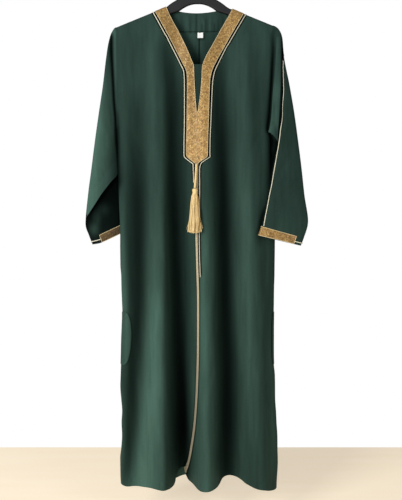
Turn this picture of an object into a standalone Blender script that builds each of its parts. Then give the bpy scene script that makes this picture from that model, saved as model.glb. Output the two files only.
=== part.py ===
"""Moroccan kaftan on a moulded hanger.

The origin is the inner crown of the hanger's hook and +Z is up. The garment's front faces -Y.
Right and left are the wearer's, so the wearer's right is at -X. Tables are in millimetres:
a "drop" is measured down from the origin, and a "distance" sideways from the plane X = 0.
"""

import math

import bmesh
import bpy
import numpy as np
from mathutils import Matrix, Vector
from mathutils.bvhtree import BVHTree

MM = 0.001
SIGN = {"right": -1, "left": 1}
# Vertices closer than this are one, in metres
WELD = 1e-6
# Edges bent by more than this are shaded sharp, in degrees
SHARP_ANGLE = 50

# Driving sizes, mm
CLOTH = 1.5
TRIM = 1.2
SEAM_GAP = 0.3
NECK_DROP = 119
SHOULDER_SLOPE = 0.40
NECK_POINT = {"right": 84, "left": 98}
HEM_DROP = 1500
BACK_SEAM_X = 7
BACK_NECK_CUT = 18
BACK_NECK_TURN = 20
RIDGE_FLAT = 3.0
RIDGE_RADIUS = 5.5
BODY_SWELL = 10
BODY_SWELL_LENGTH = 70
BODY_FLARE = 0.012
LEVEL_DEPTH = 410
LEVEL_FADE = 265
SIDE_ROUNDING = 35
ARMPIT_DROP = 458
ARMHOLE_CLOSING = 62
ARMHOLE_HALF_DEPTH = 14
SEAM_STRIP = 2.5
SLIT_TOP_DROP = 288
SLIT_END_DROP = 413
BAND_JOIN_DROP = 400
BAND_POINT_DROP = 557
BAND_ROUNDS = 12
BRAID_TOP_SHARE = 0.01
BACK_LEVEL_STATION = 200
GHOST_STEP = 6

# The two front panels' inner edge: (drop, distance on the right, distance on the left)
NECK_EDGE = (
    (118, 84.0, 98.0),
    (150, 67.0, 84.0),
    (190, 46.0, 61.0),
    (230, 28.0, 39.0),
    (262, 14.0, 22.0),
    (288, 5.0, 13.0),
    (325, 3.5, 11.5),
    (370, 1.5, 7.0),
    (413, 0.0, 0.0),
)
# Where the centre-front seam runs, from the end of the slit to the hem: (drop, x)
CENTRE_LINE = (
    (118, 2),
    (413, 2),
    (760, -1),
    (1080, 2),
    (1210, -1),
    (1310, -8),
    (1410, -21),
    (1500, -39),
)
# The galloon's outer edge: (drop at the edge, distance on the right, distance on the left)
BAND_EDGE = (
    (130, 121, 137),
    (194, 87, 101),
    (274, 44, 54),
    (302, 30, 42),
    (330, 28, 37),
    (435, 28, 34),
    (528, 30, 31),
    (557, 4.2, 4.2),
    (1500, 4.2, 4.2),
)
# The thin cords: radius, and how far the neck's lies outside the galloon's edge, as (drop, distance)
NECK_CORD_RADIUS = 1.3
SLEEVE_CORD_RADIUS = 1.2
CORD_MARGIN = ((118, 5.0), (528, 5.5), (557, 5.5), (620, 3.8), (1500, 3.8))
# The body's side edge: (drop, distance on the right, distance on the left)
SIDE_EDGE = (
    (459, 225.2, 212.2),
    (480, 225.2, 213.0),
    (520, 225.5, 219.0),
    (640, 224.0, 223.0),
    (800, 220.0, 226.0),
    (1100, 222.0, 229.0),
    (1340, 223.0, 232.0),
    (1425, 226.0, 239.0),
    (1500, 224.0, 235.0),
)
ARMHOLE_X = {"right": 226, "left": 213}

# Folds run from the shoulder to the hem. Columns: x at the top, x at the hem, depth at the top,
# depth at the hem (outward is positive), half width at the top, half width at the hem
FRONT_FOLDS = (
    (-178, -176, -2, -12, 28, 38),
    (-112, -100, 5, 40, 38, 55),
    (-58, -41, -7, -60, 36, 58),
    (22, 29, 3, 40, 40, 50),
    (82, 95, -6, -36, 34, 48),
    (136, 186, 6, 32, 36, 56),
)
BACK_FOLDS = (
    (-135, -150, 4, 24, 40, 52),
    (-80, -92, -4, -24, 36, 46),
    (-28, -22, 3, 26, 36, 50),
    (32, 42, -5, -28, 36, 46),
    (92, 104, 4, 24, 36, 48),
    (146, 164, -3, -16, 34, 44),
)
FOLD_TOP_DROP = 180
FOLD_FADE_DEPTH = 120
FOLD_GROWTH = 1.2
# The front hem rises where it is drawn into a deep fold: (x, rise, half width)
HEM_RISES = ((-41, 20, 52), (95, 13, 50))
HEM_RISE_LENGTH = 250

# Grid rows of a body panel, by their drop at the centre; the first rows round the shoulder
RIDGE_STATIONS = (0, 2.85, 7.2, 11.49)
FRONT_ROWS = (
    145, 172, 202, 232, 260, 280, 325, 370, 413, 438.5, 442.5, 480, 528, 557,
    620, 700, 790, 885, 985, 1062, 1139, 1195, 1245, 1290, 1335, 1380, 1420, 1460, 1500,
)  # fmt: skip
BACK_ROWS = (
    150, 169, 225, 290, 350, 400, 438.5, 442.5, 500, 570, 660, 765, 875, 985,
    1062, 1139, 1235, 1330, 1415, 1500,
)  # fmt: skip
SLIT_ROW = len(RIDGE_STATIONS) + FRONT_ROWS.index(SLIT_END_DROP)
POINT_ROW = len(RIDGE_STATIONS) + FRONT_ROWS.index(BAND_POINT_DROP)
# The neck cords run on past the galloon's point by this many rows
NECK_CORD_ROWS = {"right": 1, "left": 4}
UNDERLAP_ROW = len(RIDGE_STATIONS) + FRONT_ROWS.index(280)
FACING_ROW = len(RIDGE_STATIONS) + BACK_ROWS.index(169)
POCKET_ROWS = [len(RIDGE_STATIONS) + FRONT_ROWS.index(drop) for drop in (985, 1062, 1139)]
FRONT_STEPS = 11
BACK_STEPS = 8
# Columns near the side edge: distance in from it
EDGE_STEPS = (26, 13, 4.5)
# Back columns out from the centre seam, then in from the neck point
BACK_NECK_COLUMNS = (0, 18, 38, 60)
NECK_POINT_COLUMNS = (11, 4.5)
# Pockets: the first column of each turned edge, counted from the side seam
POCKET_COLUMNS = {"right": -5, "left": -3}
LABEL_DROPS = (185.5, 194, 202.5)
LABEL_XS = (1, 10.5, 20)
LABEL_THICKNESS = 1.0
LABEL_GAP = 0.6

# Sleeves: one row for each ring, from the armhole to the cuff. Columns: outer x, drop and y,
# inner x, drop and y, half thickness, and the armhole's share in the section. Forward y is negative.
SLEEVE_RINGS = {
    "left": (
        (213.3, 170.7, 0, 213.3, 458, 0, 12, 1.0),
        (215.8, 171.2, 0, 215.8, 458, 0, 12, 1.0),
        (231, 176, 0, 216.5, 463, -5, 12, 0.7),
        (243, 206, -1, 216, 481, -16, 11, 0.4),
        (250, 262, -4, 217.5, 508, -27, 11, 0.15),
        (261, 335, -9, 220, 540, -35, 11, 0.0),
        (272, 410, -15, 219, 575, -42, 10, 0.0),
        (283, 495, -23, 214, 612, -46, 10, 0.0),
        (294, 575, -32, 205, 650, -48, 10, 0.0),
        (303, 645, -40, 196, 684, -49, 10, 0.0),
        (311, 706, -45, 189, 711, -50, 10, 0.0),
        (309, 757, -47, 184, 733, -50, 9, 0.0),
        (296, 789, -47, 173, 765, -50, 9, 0.0),
    ),
    "right": (
        (-226.3, 175.9, 0, -226.3, 458, 0, 12, 1.0),
        (-228.8, 176.6, 0, -228.8, 458, 0, 12, 1.0),
        (-239, 190, 0, -229.5, 464, 5, 12, 0.7),
        (-248, 218, 2, -228.5, 482, 15, 11, 0.4),
        (-257, 266, 5, -227, 508, 26, 11, 0.15),
        (-267, 335, 9, -223, 540, 35, 11, 0.0),
        (-278, 410, 14, -219, 575, 41, 10, 0.0),
        (-291, 490, 21, -216, 610, 45, 10, 0.0),
        (-305, 570, 30, -213, 642, 47, 10, 0.0),
        (-316, 648, 38, -211, 670, 47, 10, 0.0),
        (-325, 712, 44, -209, 694, 48, 10, 0.0),
        (-324, 766, 46, -208, 716, 48, 9, 0.0),
        (-311, 795, 47, -197, 745, 48, 9, 0.0),
    ),
}
SLEEVE_POINTS = 20
CUFF_RING = 11
CUFF_GAP_POINTS = 2
CUFF_CORD_PLACE = 0.7
CUFF_CORD_INSET = 0.2
# The front of the wearer's left sleeve stands proud beside its armhole, in a flap
FLAP_HEIGHT = 6
FLAP_INNER_X = 216
FLAP_OUTER_X = 242
FLAP_EDGE = 6
FLAP_END_DROP = 470
FLAP_END_FADE = 40
# The wearer's right sleeve folds back along a slanting line, and stands proud above it
ARM_FOLD_HEIGHT = 7
ARM_FOLD_X = -228
ARM_FOLD_DROP = 577
ARM_FOLD_SLOPE = 1.33
ARM_FOLD_FADE = 24
# The over-arm cord on each sleeve: (drop, distance from X = 0)
SLEEVE_CORD = {
    "left": (
        (186, 232),
        (225, 240),
        (277, 244.5),
        (360, 245),
        (406, 241),
        (492, 232),
        (560, 222),
        (728, 191),
    ),
    "right": (
        (200, 240),
        (240, 246),
        (300, 250),
        (370, 252),
        (430, 250),
        (492, 246),
        (560, 238),
        (700, 214),
    ),
}
SLEEVE_CORD_POINTS = 44
RAY_START = 300
ROUND_CORD = 2
SLEEVE_CORD_GAP = 0.9

TASSEL_X = -4
TASSEL_TOP_DROP = 627
TASSEL_LENGTH = 127
TASSEL_HEAD_RADIUS = 8.0
TASSEL_HALF_WIDTH = 21
TASSEL_HALF_DEPTH = 11
TASSEL_FORWARD = 14
TASSEL_HEAD_GAP = 1.6
# The turned head: (distance below its first ring, share of the head's radius)
TASSEL_PROFILE = ((0.0, 1.0), (4.0, 1.02), (9.0, 0.86), (12.0, 1.0), (19.0, 1.0))
TASSEL_CAP_SHARE = 0.4
TASSEL_CAP_HEIGHT = 1.5
# Strands: rings of them round the head's underside, and the gap left round each root
STRAND_COLUMNS = 18
STRAND_RINGS = 3
STRAND_GAP = 0.28
STRAND_UNEVEN = 3.0
STRAND_TURN = 2.4
STRAND_SPREAD = 1.14
STRAND_WIDENING = 1.15
# Each strand's two lengths: (share of the way down, share of the way out)
STRAND_STEPS = ((0.45, 0.62), (1.0, 1.0))
TASSEL_CORD_RADIUS = 3.3
TASSEL_CORD_GAP = 0.6
# The cord that the tassel hangs from: (x, drop)
TASSEL_CORD_ROUTE = (
    (0.5, 559),
    (-0.5, 570),
    (-1.5, 585),
    (-2.5, 600),
    (-3.5, 614),
    (-4, 626.4),
)

HANGER_HALF_LENGTH = 210
HANGER_THICKNESS = 12
HANGER_ROUNDING = 4
HANGER_CLEARANCE = 1.4
HOOK_RADIUS = 19
HOOK_WIRE = 4
# The hanger's half outline: distance, drop; the shoulder line is worked out from the ridge
HANGER_NECK = ((10, 62), (14, 72), (30, 85), (54, 99), (78, 121))
HANGER_SHOULDER_X = 88
# The arm's rounded end: distance and drop past the end of its top edge
HANGER_NOSE = ((0, 0), (6, 8), (1, 17))
HANGER_UNDERSIDE = ((90, 142), (66, 131), (38, 120), (0, 114))
# The hook: its shank, as x and drop, then the turn round its crown, in degrees
HOOK_SHANK = ((0, 80), (0, 62), (1.5, 55), (7, 46.5))
HOOK_TURN = (-48, 205)
HOOK_POINTS = 16

# Base colour and roughness of each kind of material
FINISHES = {
    "cloth": ((0.016, 0.052, 0.036), 0.55),
    "galloon": ((0.42, 0.27, 0.085), 0.5),
    "cream": ((0.66, 0.55, 0.36), 0.55),
    "gold": ((0.72, 0.47, 0.13), 0.38),
    "plastic": ((0.02, 0.02, 0.022), 0.45),
    "label": ((0.8, 0.8, 0.78), 0.8),
}


def lookup(table, at, column=1):
    rows = np.array(table, float)
    return float(np.interp(at, rows[:, 0], rows[:, column]))


def smooth(t):
    t = min(max(t, 0.0), 1.0)
    return t * t * (3 - 2 * t)


def material(kind):
    colour, roughness = FINISHES[kind]
    made = bpy.data.materials.new(f"kaftan_{kind}")
    made.use_nodes = True
    shader = made.node_tree.nodes["Principled BSDF"]
    shader.inputs["Base Color"].default_value = (*colour, 1)
    shader.inputs["Roughness"].default_value = roughness
    shader.inputs["Metallic"].default_value = 0.0
    return made


def add_object(name, data, finish, collection):
    made = bpy.data.objects.new(name, data)
    made.data.materials.append(finish)
    collection.objects.link(made)
    return made


# --- The body's surface ---------------------------------------------------------------------


def column_of(side):
    return 1 if side == "right" else 2


def shoulder_drop(x):
    return NECK_DROP + SHOULDER_SLOPE * max(abs(x) - NECK_POINT["right"], 0)


def shoulder_profile(station):
    """(half depth, depth below the shoulder line) at a distance along the cloth from the seam."""
    bend = RIDGE_FLAT - SEAM_GAP / 2
    quarter = RIDGE_RADIUS * math.pi / 2
    if station <= bend:
        return SEAM_GAP / 2 + station, 0.0
    if station <= bend + quarter:
        turn = (station - bend) / RIDGE_RADIUS
        return RIDGE_FLAT + RIDGE_RADIUS * math.sin(turn), RIDGE_RADIUS * (1 - math.cos(turn))
    below = station - bend - quarter
    swell = BODY_SWELL * (1 - math.exp(-below / BODY_SWELL_LENGTH)) + BODY_FLARE * below
    return RIDGE_FLAT + RIDGE_RADIUS + swell, RIDGE_RADIUS + below


def station_at(depth):
    return RIDGE_FLAT - SEAM_GAP / 2 + RIDGE_RADIUS * (math.pi / 2 - 1) + depth


def row_stations(drops):
    return [*RIDGE_STATIONS, *(station_at(drop - NECK_DROP) for drop in drops)]


def drop_at(x, depth):
    """Rows follow the sloping shoulder at the top, and are level below the armpit."""
    slope_left = min(max((LEVEL_DEPTH - depth) / LEVEL_FADE, 0.0), 1.0)
    return NECK_DROP + depth + (shoulder_drop(x) - NECK_DROP) * slope_left


def armhole_share(drop):
    """1 beside the armhole, falling to 0 at the armpit along a round curve."""
    below = max(drop - (ARMPIT_DROP - ARMHOLE_CLOSING), 0) / ARMHOLE_CLOSING
    return math.sqrt(max(1 - below * below, 0.0))


def armhole_half_depth(half_depth, drop):
    return max(min(half_depth, ARMHOLE_HALF_DEPTH) * armhole_share(drop), SEAM_GAP / 2)


def side_distance(side, drop):
    if drop <= ARMPIT_DROP:
        return ARMHOLE_X[side]
    return lookup(SIDE_EDGE, drop, column_of(side))


def fold_offset(folds, x, drop, depth):
    down = min(max((drop - FOLD_TOP_DROP) / (HEM_DROP - FOLD_TOP_DROP), 0), 1)
    total = 0.0
    for x_top, x_hem, depth_top, depth_hem, width_top, width_hem in folds:
        middle = x_top + (x_hem - x_top) * down
        width = width_top + (width_hem - width_top) * down
        height = depth_top + (depth_hem - depth_top) * down**FOLD_GROWTH
        across = abs(x - middle) / width
        if across < 1:
            total += height * 0.5 * (1 + math.cos(math.pi * across))
    return total * min(depth / FOLD_FADE_DEPTH, 1)


def hem_rise(x, drop):
    near_hem = smooth((drop - HEM_DROP) / HEM_RISE_LENGTH + 1)
    rise = 0.0
    for middle, height, width in HEM_RISES:
        across = abs(x - middle) / width
        if across < 1:
            rise += height * 0.5 * (1 + math.cos(math.pi * across))
    return rise * near_hem


def body_point(face, x, station, seam=False):
    """A point on the middle of the cloth. At a side seam the cloth turns in along Y."""
    side = "right" if x < 0 else "left"
    half_depth, depth = shoulder_profile(station)
    drop = drop_at(x, depth)
    share = armhole_share(drop)
    edge = armhole_half_depth(half_depth, drop)
    closed = 0.0 if drop <= ARMPIT_DROP else 1.0
    inward = max(side_distance(side, drop) - abs(x), 0.0)
    if seam:
        outward = edge
    else:
        base = min(edge + SEAM_STRIP * closed, half_depth)
        roll = math.sqrt(1 - (1 - min(inward / SIDE_ROUNDING, 1)) ** 2)
        rise = share * smooth(inward / SIDE_ROUNDING) + (1 - share) * roll
        outward = base + (half_depth - base) * rise
        folds = FRONT_FOLDS if face == "front" else BACK_FOLDS
        outward += fold_offset(folds, x, drop, depth) * smooth(inward / SIDE_ROUNDING)
    if face == "front":
        return x, -outward, -(drop - hem_rise(x, drop))
    return x, outward, -drop


def edge_columns(face, side, station):
    """The last columns of a row: rolled towards the side, then the seam strip and the seam."""
    _, depth = shoulder_profile(station)
    drop = drop_at(SIGN[side] * ARMHOLE_X[side], depth)
    distance = side_distance(side, drop)
    strip = SEAM_STRIP if drop <= ARMPIT_DROP else 0.0
    row = [body_point(face, SIGN[side] * (distance - step), station) for step in EDGE_STEPS]
    row.append(body_point(face, SIGN[side] * (distance - strip), station))
    row.append(body_point(face, SIGN[side] * distance, station, seam=True))
    return row, distance - EDGE_STEPS[0]


def front_row(side, station):
    """One row of a front panel, and the point just past its inner edge."""
    sign, column = SIGN[side], column_of(side)
    _, depth = shoulder_profile(station)
    drop = NECK_DROP + depth
    centre = lookup(CENTRE_LINE, drop)
    if drop < SLIT_END_DROP:
        closing = (drop - SLIT_TOP_DROP) / (SLIT_END_DROP - SLIT_TOP_DROP)
        inner = sign * lookup(NECK_EDGE, drop, column) + centre * smooth(closing)
    else:
        inner = centre
    inner += sign * SEAM_GAP / 2
    # The galloon's edge is tabled by its own drop, which the sloping row reaches further out.
    band = inner
    joining = smooth((drop - BAND_JOIN_DROP) / (BAND_POINT_DROP - BAND_JOIN_DROP))
    for _ in range(BAND_ROUNDS):
        reach = lookup(BAND_EDGE, drop_at(band, depth), column)
        band = sign * reach + centre * joining
    cord = band + sign * lookup(CORD_MARGIN, drop)
    tail, last = edge_columns(face="front", side=side, station=station)
    spread = np.linspace(cord, sign * last, FRONT_STEPS + 1)[1:-1]
    xs = [inner, (inner + band) / 2, band, cord, *spread]
    row = [body_point("front", x, station) for x in xs] + tail
    return row, body_point("front", inner - sign * GHOST_STEP, station)


def back_neck_station(x):
    """How far down from the shoulder line the back neck is cut, along the cloth."""
    side = "right" if x < 0 else "left"
    inside = (NECK_POINT[side] - abs(x)) / BACK_NECK_TURN
    return BACK_NECK_CUT * math.sin(min(max(inside, 0.0), 1.0) * math.pi / 2)


def back_row(side, station):
    sign = SIGN[side]
    tail, last = edge_columns(face="back", side=side, station=station)
    seam_x = BACK_SEAM_X + sign * SEAM_GAP / 2
    neck = [seam_x + sign * step for step in BACK_NECK_COLUMNS]
    neck += [sign * (NECK_POINT[side] - step) for step in NECK_POINT_COLUMNS]
    spread = np.linspace(NECK_POINT[side], last, BACK_STEPS + 1)[:-1]
    xs = [*neck, *(sign * distance for distance in spread)]
    ghost = seam_x - sign * BACK_NECK_COLUMNS[1]
    points = []
    for x in (*xs, ghost):
        cut = back_neck_station(x)
        fade = max(1 - station / BACK_LEVEL_STATION, 0.0)
        points.append(body_point("back", x, station + cut * fade))
    return points[:-1] + tail, points[-1]


def grid_normals(points, outward, ghost=None, closed=False):
    """Unit normals of a grid of points, by differences along its rows and columns."""
    grid = np.array(points, float)
    if ghost is not None:
        grid = np.concatenate([np.array(ghost, float)[:, None], grid], axis=1)
    if closed:
        across = np.roll(grid, -1, axis=1) - np.roll(grid, 1, axis=1)
    else:
        across = np.gradient(grid, axis=1)
    down = np.gradient(grid, axis=0)
    normals = np.cross(across, down)
    normals /= np.maximum(np.linalg.norm(normals, axis=2, keepdims=True), 1e-9)
    if ghost is not None:
        normals = normals[:, 1:]
    middle = normals[len(normals) // 2, normals.shape[1] // 3]
    return normals if np.dot(middle, outward) > 0 else -normals


def body_panel(face, side):
    """The middle of a panel's cloth as a grid of points, and its outward normals."""
    drops = FRONT_ROWS if face == "front" else BACK_ROWS
    rows = []
    for station in row_stations(drops):
        if face == "front":
            rows.append(front_row(side, station))
        else:
            rows.append(back_row(side, station))
    points = np.array([row for row, _ in rows])
    outward = (0, -1, 0) if face == "front" else (0, 1, 0)
    normals = grid_normals(points, outward, ghost=[past for _, past in rows])
    return points, square_to_seams(points, normals)


def square_to_seams(points, normals):
    """Turns the cloth's side edge square to the plane of its armhole, and of its side seam."""
    beside_armhole = -points[:, -1, 2] <= ARMPIT_DROP
    normals[beside_armhole, -2:, 0] = 0
    normals[~beside_armhole, -1, 1] = 0
    return normals / np.linalg.norm(normals, axis=2, keepdims=True)


# --- The sleeves ----------------------------------------------------------------------------


def armhole_section(side, drop):
    depth = drop - shoulder_drop(ARMHOLE_X[side])
    beside_ridge = depth <= RIDGE_RADIUS
    half_depth, _ = shoulder_profile(RIDGE_STATIONS[2] if beside_ridge else station_at(depth))
    return min(half_depth, ARMHOLE_HALF_DEPTH) * armhole_share(drop)


def sleeve_relief(side, x, drop, ring):
    """How far the sleeve's front stands proud: a flap by one armhole, a fold across the other arm."""
    start = smooth((ring - 1.5) / 2)
    if side == "left":
        across = smooth((x - FLAP_INNER_X) / FLAP_EDGE) * smooth((FLAP_OUTER_X - x) / FLAP_EDGE)
        return FLAP_HEIGHT * across * smooth((FLAP_END_DROP - drop) / FLAP_END_FADE) * start
    crossing = ARM_FOLD_DROP + (ARM_FOLD_X - x) * ARM_FOLD_SLOPE
    return ARM_FOLD_HEIGHT * smooth((crossing - drop) / ARM_FOLD_FADE) * start


def sleeve_grid(side):
    rings = []
    for number, ring in enumerate(SLEEVE_RINGS[side]):
        outer, inner = np.array(ring[0:3], float), np.array(ring[3:6], float)
        half, share = ring[6:8]
        points = []
        for step in range(SLEEVE_POINTS):
            angle = 2 * math.pi * step / SLEEVE_POINTS
            along = (1 - math.cos(angle)) / 2
            x, drop, y = outer + (inner - outer) * along
            section = half * max(1 - abs(2 * along - 1) ** 3.5, 0) ** (1 / 3.5)
            armhole = armhole_section(side, drop) if share else 0
            reach = share * armhole + (1 - share) * section
            if step in (0, SLEEVE_POINTS // 2):
                reach = 0
            front = angle < math.pi
            if front:
                tapered = reach / half if half else 0
                reach += sleeve_relief(side, x, drop, number) * min(tapered, 1)
            points.append((x, y - reach if front else y + reach, -drop))
        rings.append(points)
    points = np.array(rings)
    normals = grid_normals(points, (0, -1, 0), closed=True)
    return points, normals


# --- From points to solids ------------------------------------------------------------------


def shell(name, points, normals, thickness, finish, collection, lift=0.0, closed=False, turned=False):
    """A wall of the given thickness, centred on the points moved out by the lift.

    Its triangles lean one way, or the other way if it is turned, as the wearer's right panels are.
    What lies on a panel leans as the panel does, so that the two stay parallel.
    """
    rows, columns = points.shape[:2]
    mesh = bmesh.new()
    layers = []
    for level in (lift + thickness / 2, lift - thickness / 2):
        moved = (points + normals * level) * MM
        layers.append([[mesh.verts.new(point) for point in row] for row in moved])
    outer, inner = layers
    last = columns if closed else columns - 1
    for row in range(rows - 1):
        for column in range(last):
            beside = (column + 1) % columns
            for layer in layers:
                corners = [layer[row][column], layer[row][beside]]
                corners += [layer[row + 1][beside], layer[row + 1][column]]
                if turned:
                    corners = corners[1:] + corners[:1]
                mesh.faces.new(corners[:3])
                mesh.faces.new((corners[0], corners[2], corners[3]))
    for row in (0, rows - 1):
        for column in range(last):
            beside = (column + 1) % columns
            mesh.faces.new((outer[row][column], outer[row][beside], inner[row][beside], inner[row][column]))
    if not closed:
        for column in (0, columns - 1):
            for row in range(rows - 1):
                mesh.faces.new(
                    (outer[row][column], outer[row + 1][column], inner[row + 1][column], inner[row][column])
                )
    bmesh.ops.recalc_face_normals(mesh, faces=mesh.faces)
    data = bpy.data.meshes.new(name)
    mesh.to_mesh(data)
    mesh.free()
    data.shade_smooth()
    data.set_sharp_from_angle(angle=math.radians(SHARP_ANGLE))
    return add_object(name, data, finish, collection)


def tube(name, points, radius, finish, collection, resolution=0):
    """A cord along points in millimetres."""
    data = bpy.data.curves.new(name, "CURVE")
    data.dimensions = "3D"
    data.bevel_depth = radius * MM
    data.bevel_resolution = resolution
    data.use_fill_caps = True
    spline = data.splines.new("POLY")
    spline.points.add(len(points) - 1)
    for control, point in zip(spline.points, points, strict=True):
        control.co = (*(np.array(point) * MM), 1)
    return add_object(name, data, finish, collection)


def mesh_of(source, name, collection):
    """The object's evaluated shape as a new mesh object, which takes its place."""
    graph = bpy.context.evaluated_depsgraph_get()
    data = bpy.data.meshes.new_from_object(source.evaluated_get(graph))
    welded = bmesh.new()
    welded.from_mesh(data)
    bmesh.ops.remove_doubles(welded, verts=welded.verts, dist=WELD)
    welded.to_mesh(data)
    welded.free()
    made = bpy.data.objects.new(name, data)
    made.matrix_world = source.matrix_world
    collection.objects.link(made)
    bpy.data.objects.remove(source)
    return made


# --- The garment's pieces -------------------------------------------------------------------


def add_body(cloth, collection):
    panels = {}
    for face in ("front", "back"):
        for side in SIGN:
            points, normals = body_panel(face, side)
            turned = side == "right"
            shell(f"{face}_{side}", points, normals, CLOTH, cloth, collection, turned=turned)
            panels[face, side] = points, normals
    return panels


def add_neck_trim(panels, galloon, cream, collection):
    """The galloon covers the first columns of each front, and the cord follows the next one."""
    lift = CLOTH / 2 + SEAM_GAP + TRIM / 2
    for side in SIGN:
        points, normals = panels["front", side]
        band = points[: POINT_ROW + 1, :3], normals[: POINT_ROW + 1, :3]
        turned = side == "right"
        shell(f"neck_band_{side}", *band, TRIM, galloon, collection, lift, turned=turned)
        last = POINT_ROW + NECK_CORD_ROWS[side]
        raised = points + normals * (CLOTH / 2 + SEAM_GAP + NECK_CORD_RADIUS)
        tube(f"neck_cord_{side}", raised[: last + 1, 3], NECK_CORD_RADIUS, cream, collection)


def add_braid(panels, gold, collection):
    right, right_normals = (grid[POINT_ROW:] for grid in panels["front", "right"])
    left, left_normals = (grid[POINT_ROW:] for grid in panels["front", "left"])

    def across(from_right, from_left):
        middle = (from_right[:, :1] + from_left[:, :1]) / 2
        return np.concatenate([from_right[:, 2:0:-1], middle, from_left[:, 1:3]], axis=1)

    points = across(right, left)
    normals = across(right_normals, left_normals)
    normals /= np.linalg.norm(normals, axis=2, keepdims=True)
    points[0] += (points[1] - points[0]) * BRAID_TOP_SHARE
    lift = CLOTH / 2 + SEAM_GAP + TRIM / 2
    shell("front_braid", points, normals, TRIM, gold, collection, lift)


def add_underlap(panels, cloth, collection):
    """The strip behind the slit follows the panels' inner columns and bridges the slit's mouth."""
    rows = slice(UNDERLAP_ROW, SLIT_ROW + 2)
    grids = []
    for layer in (0, 1):
        right = panels["front", "right"][layer][rows, 1::-1]
        left = panels["front", "left"][layer][rows, :2]
        grids.append(np.concatenate([right, left], axis=1))
    points, normals = grids
    shell("slit_underlap", points, normals, CLOTH, cloth, collection, lift=-(CLOTH + SEAM_GAP))


def add_facing(panels, cloth, label, collection):
    """The facing lies inside the back neck, across the centre-back seam."""
    count = len(BACK_NECK_COLUMNS) + 1
    grids = []
    for layer in (0, 1):
        right = panels["back", "right"][layer][: FACING_ROW + 1, :count]
        left = panels["back", "left"][layer][: FACING_ROW + 1, :count]
        middle = (right[:, :1] + left[:, :1]) / 2
        grids.append(np.concatenate([right[:, :0:-1], middle, left[:, 1:]], axis=1))
    points, normals = grids
    normals = normals / np.linalg.norm(normals, axis=2, keepdims=True)
    lift = -(CLOTH / 2 + SEAM_GAP + TRIM / 2)
    shell("back_neck_facing", points, normals, TRIM, cloth, collection, lift)
    rows = []
    for drop in LABEL_DROPS:
        rows.append([body_point("back", x, station_at(drop - NECK_DROP)) for x in LABEL_XS])
    points = np.array(rows)
    normals = grid_normals(points, (0, 1, 0))
    lift = -(CLOTH / 2 + LABEL_GAP + LABEL_THICKNESS / 2)
    shell("neck_label", points, normals, LABEL_THICKNESS, label, collection, lift)


def add_pockets(panels, cloth, collection):
    """The turned edge of each side pocket, on the front panel beside the seam."""
    lift = CLOTH + SEAM_GAP
    for side, first in POCKET_COLUMNS.items():
        points, normals = (grid[POCKET_ROWS, first:-1] for grid in panels["front", side])
        turned = side == "right"
        shell(f"pocket_{side}", points, normals, CLOTH, cloth, collection, lift, turned=turned)


def surface_hit(tree, x, drop, toward):
    """The sleeve's outside at (x, drop), looking along +Y or -Y, in millimetres."""
    start = Vector((x, -RAY_START * toward, -drop)) * MM
    spot, normal, _, _ = tree.ray_cast(start, Vector((0, toward, 0)))
    if spot is None:
        return None
    return np.array(spot) / MM, np.array(normal)


def add_sleeves(cloth, galloon, cream, collection):
    for side, sign in SIGN.items():
        points, normals = sleeve_grid(side)
        sleeve = shell(f"sleeve_{side}", points, normals, CLOTH, cloth, collection, closed=True)
        add_cuff(side, points, normals, galloon, cream, collection)
        mesh = bmesh.new()
        mesh.from_mesh(sleeve.data)
        tree = BVHTree.FromBMesh(mesh)
        mesh.free()
        route = np.array(SLEEVE_CORD[side], float)
        drops = np.linspace(route[0, 0], route[-1, 0], SLEEVE_CORD_POINTS)
        cord = []
        for drop in drops:
            x = sign * np.interp(drop, route[:, 0], route[:, 1])
            found = surface_hit(tree, x, drop, 1 if side == "left" else -1)
            if found:
                cord.append(found[0] + found[1] * (SLEEVE_CORD_RADIUS + SLEEVE_CORD_GAP))
        tube(f"sleeve_cord_{side}", cord, SLEEVE_CORD_RADIUS, cream, collection)


def add_cuff(side, points, normals, galloon, cream, collection):
    """The galloon goes round the cuff but for its outer corner, where only the cord runs."""
    lift = CLOTH / 2 + SEAM_GAP + TRIM / 2
    rows = slice(CUFF_RING, CUFF_RING + 2)
    columns = slice(CUFF_GAP_POINTS, SLEEVE_POINTS - CUFF_GAP_POINTS + 1)
    band = points[rows, columns], normals[rows, columns]
    shell(f"cuff_band_{side}", *band, TRIM, galloon, collection, lift)
    corner = [*range(SLEEVE_POINTS - CUFF_GAP_POINTS, SLEEVE_POINTS), *range(CUFF_GAP_POINTS + 1)]
    near_end = points[CUFF_RING] * (1 - CUFF_CORD_PLACE) + points[CUFF_RING + 1] * CUFF_CORD_PLACE
    raised = near_end + normals[CUFF_RING + 1] * (CLOTH / 2 + SEAM_GAP + NECK_CORD_RADIUS)
    cord = raised[corner]
    cord[0] += (cord[1] - cord[0]) * CUFF_CORD_INSET
    cord[-1] += (cord[-2] - cord[-1]) * CUFF_CORD_INSET
    tube(f"cuff_cord_{side}", cord, NECK_CORD_RADIUS, cream, collection)


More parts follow.
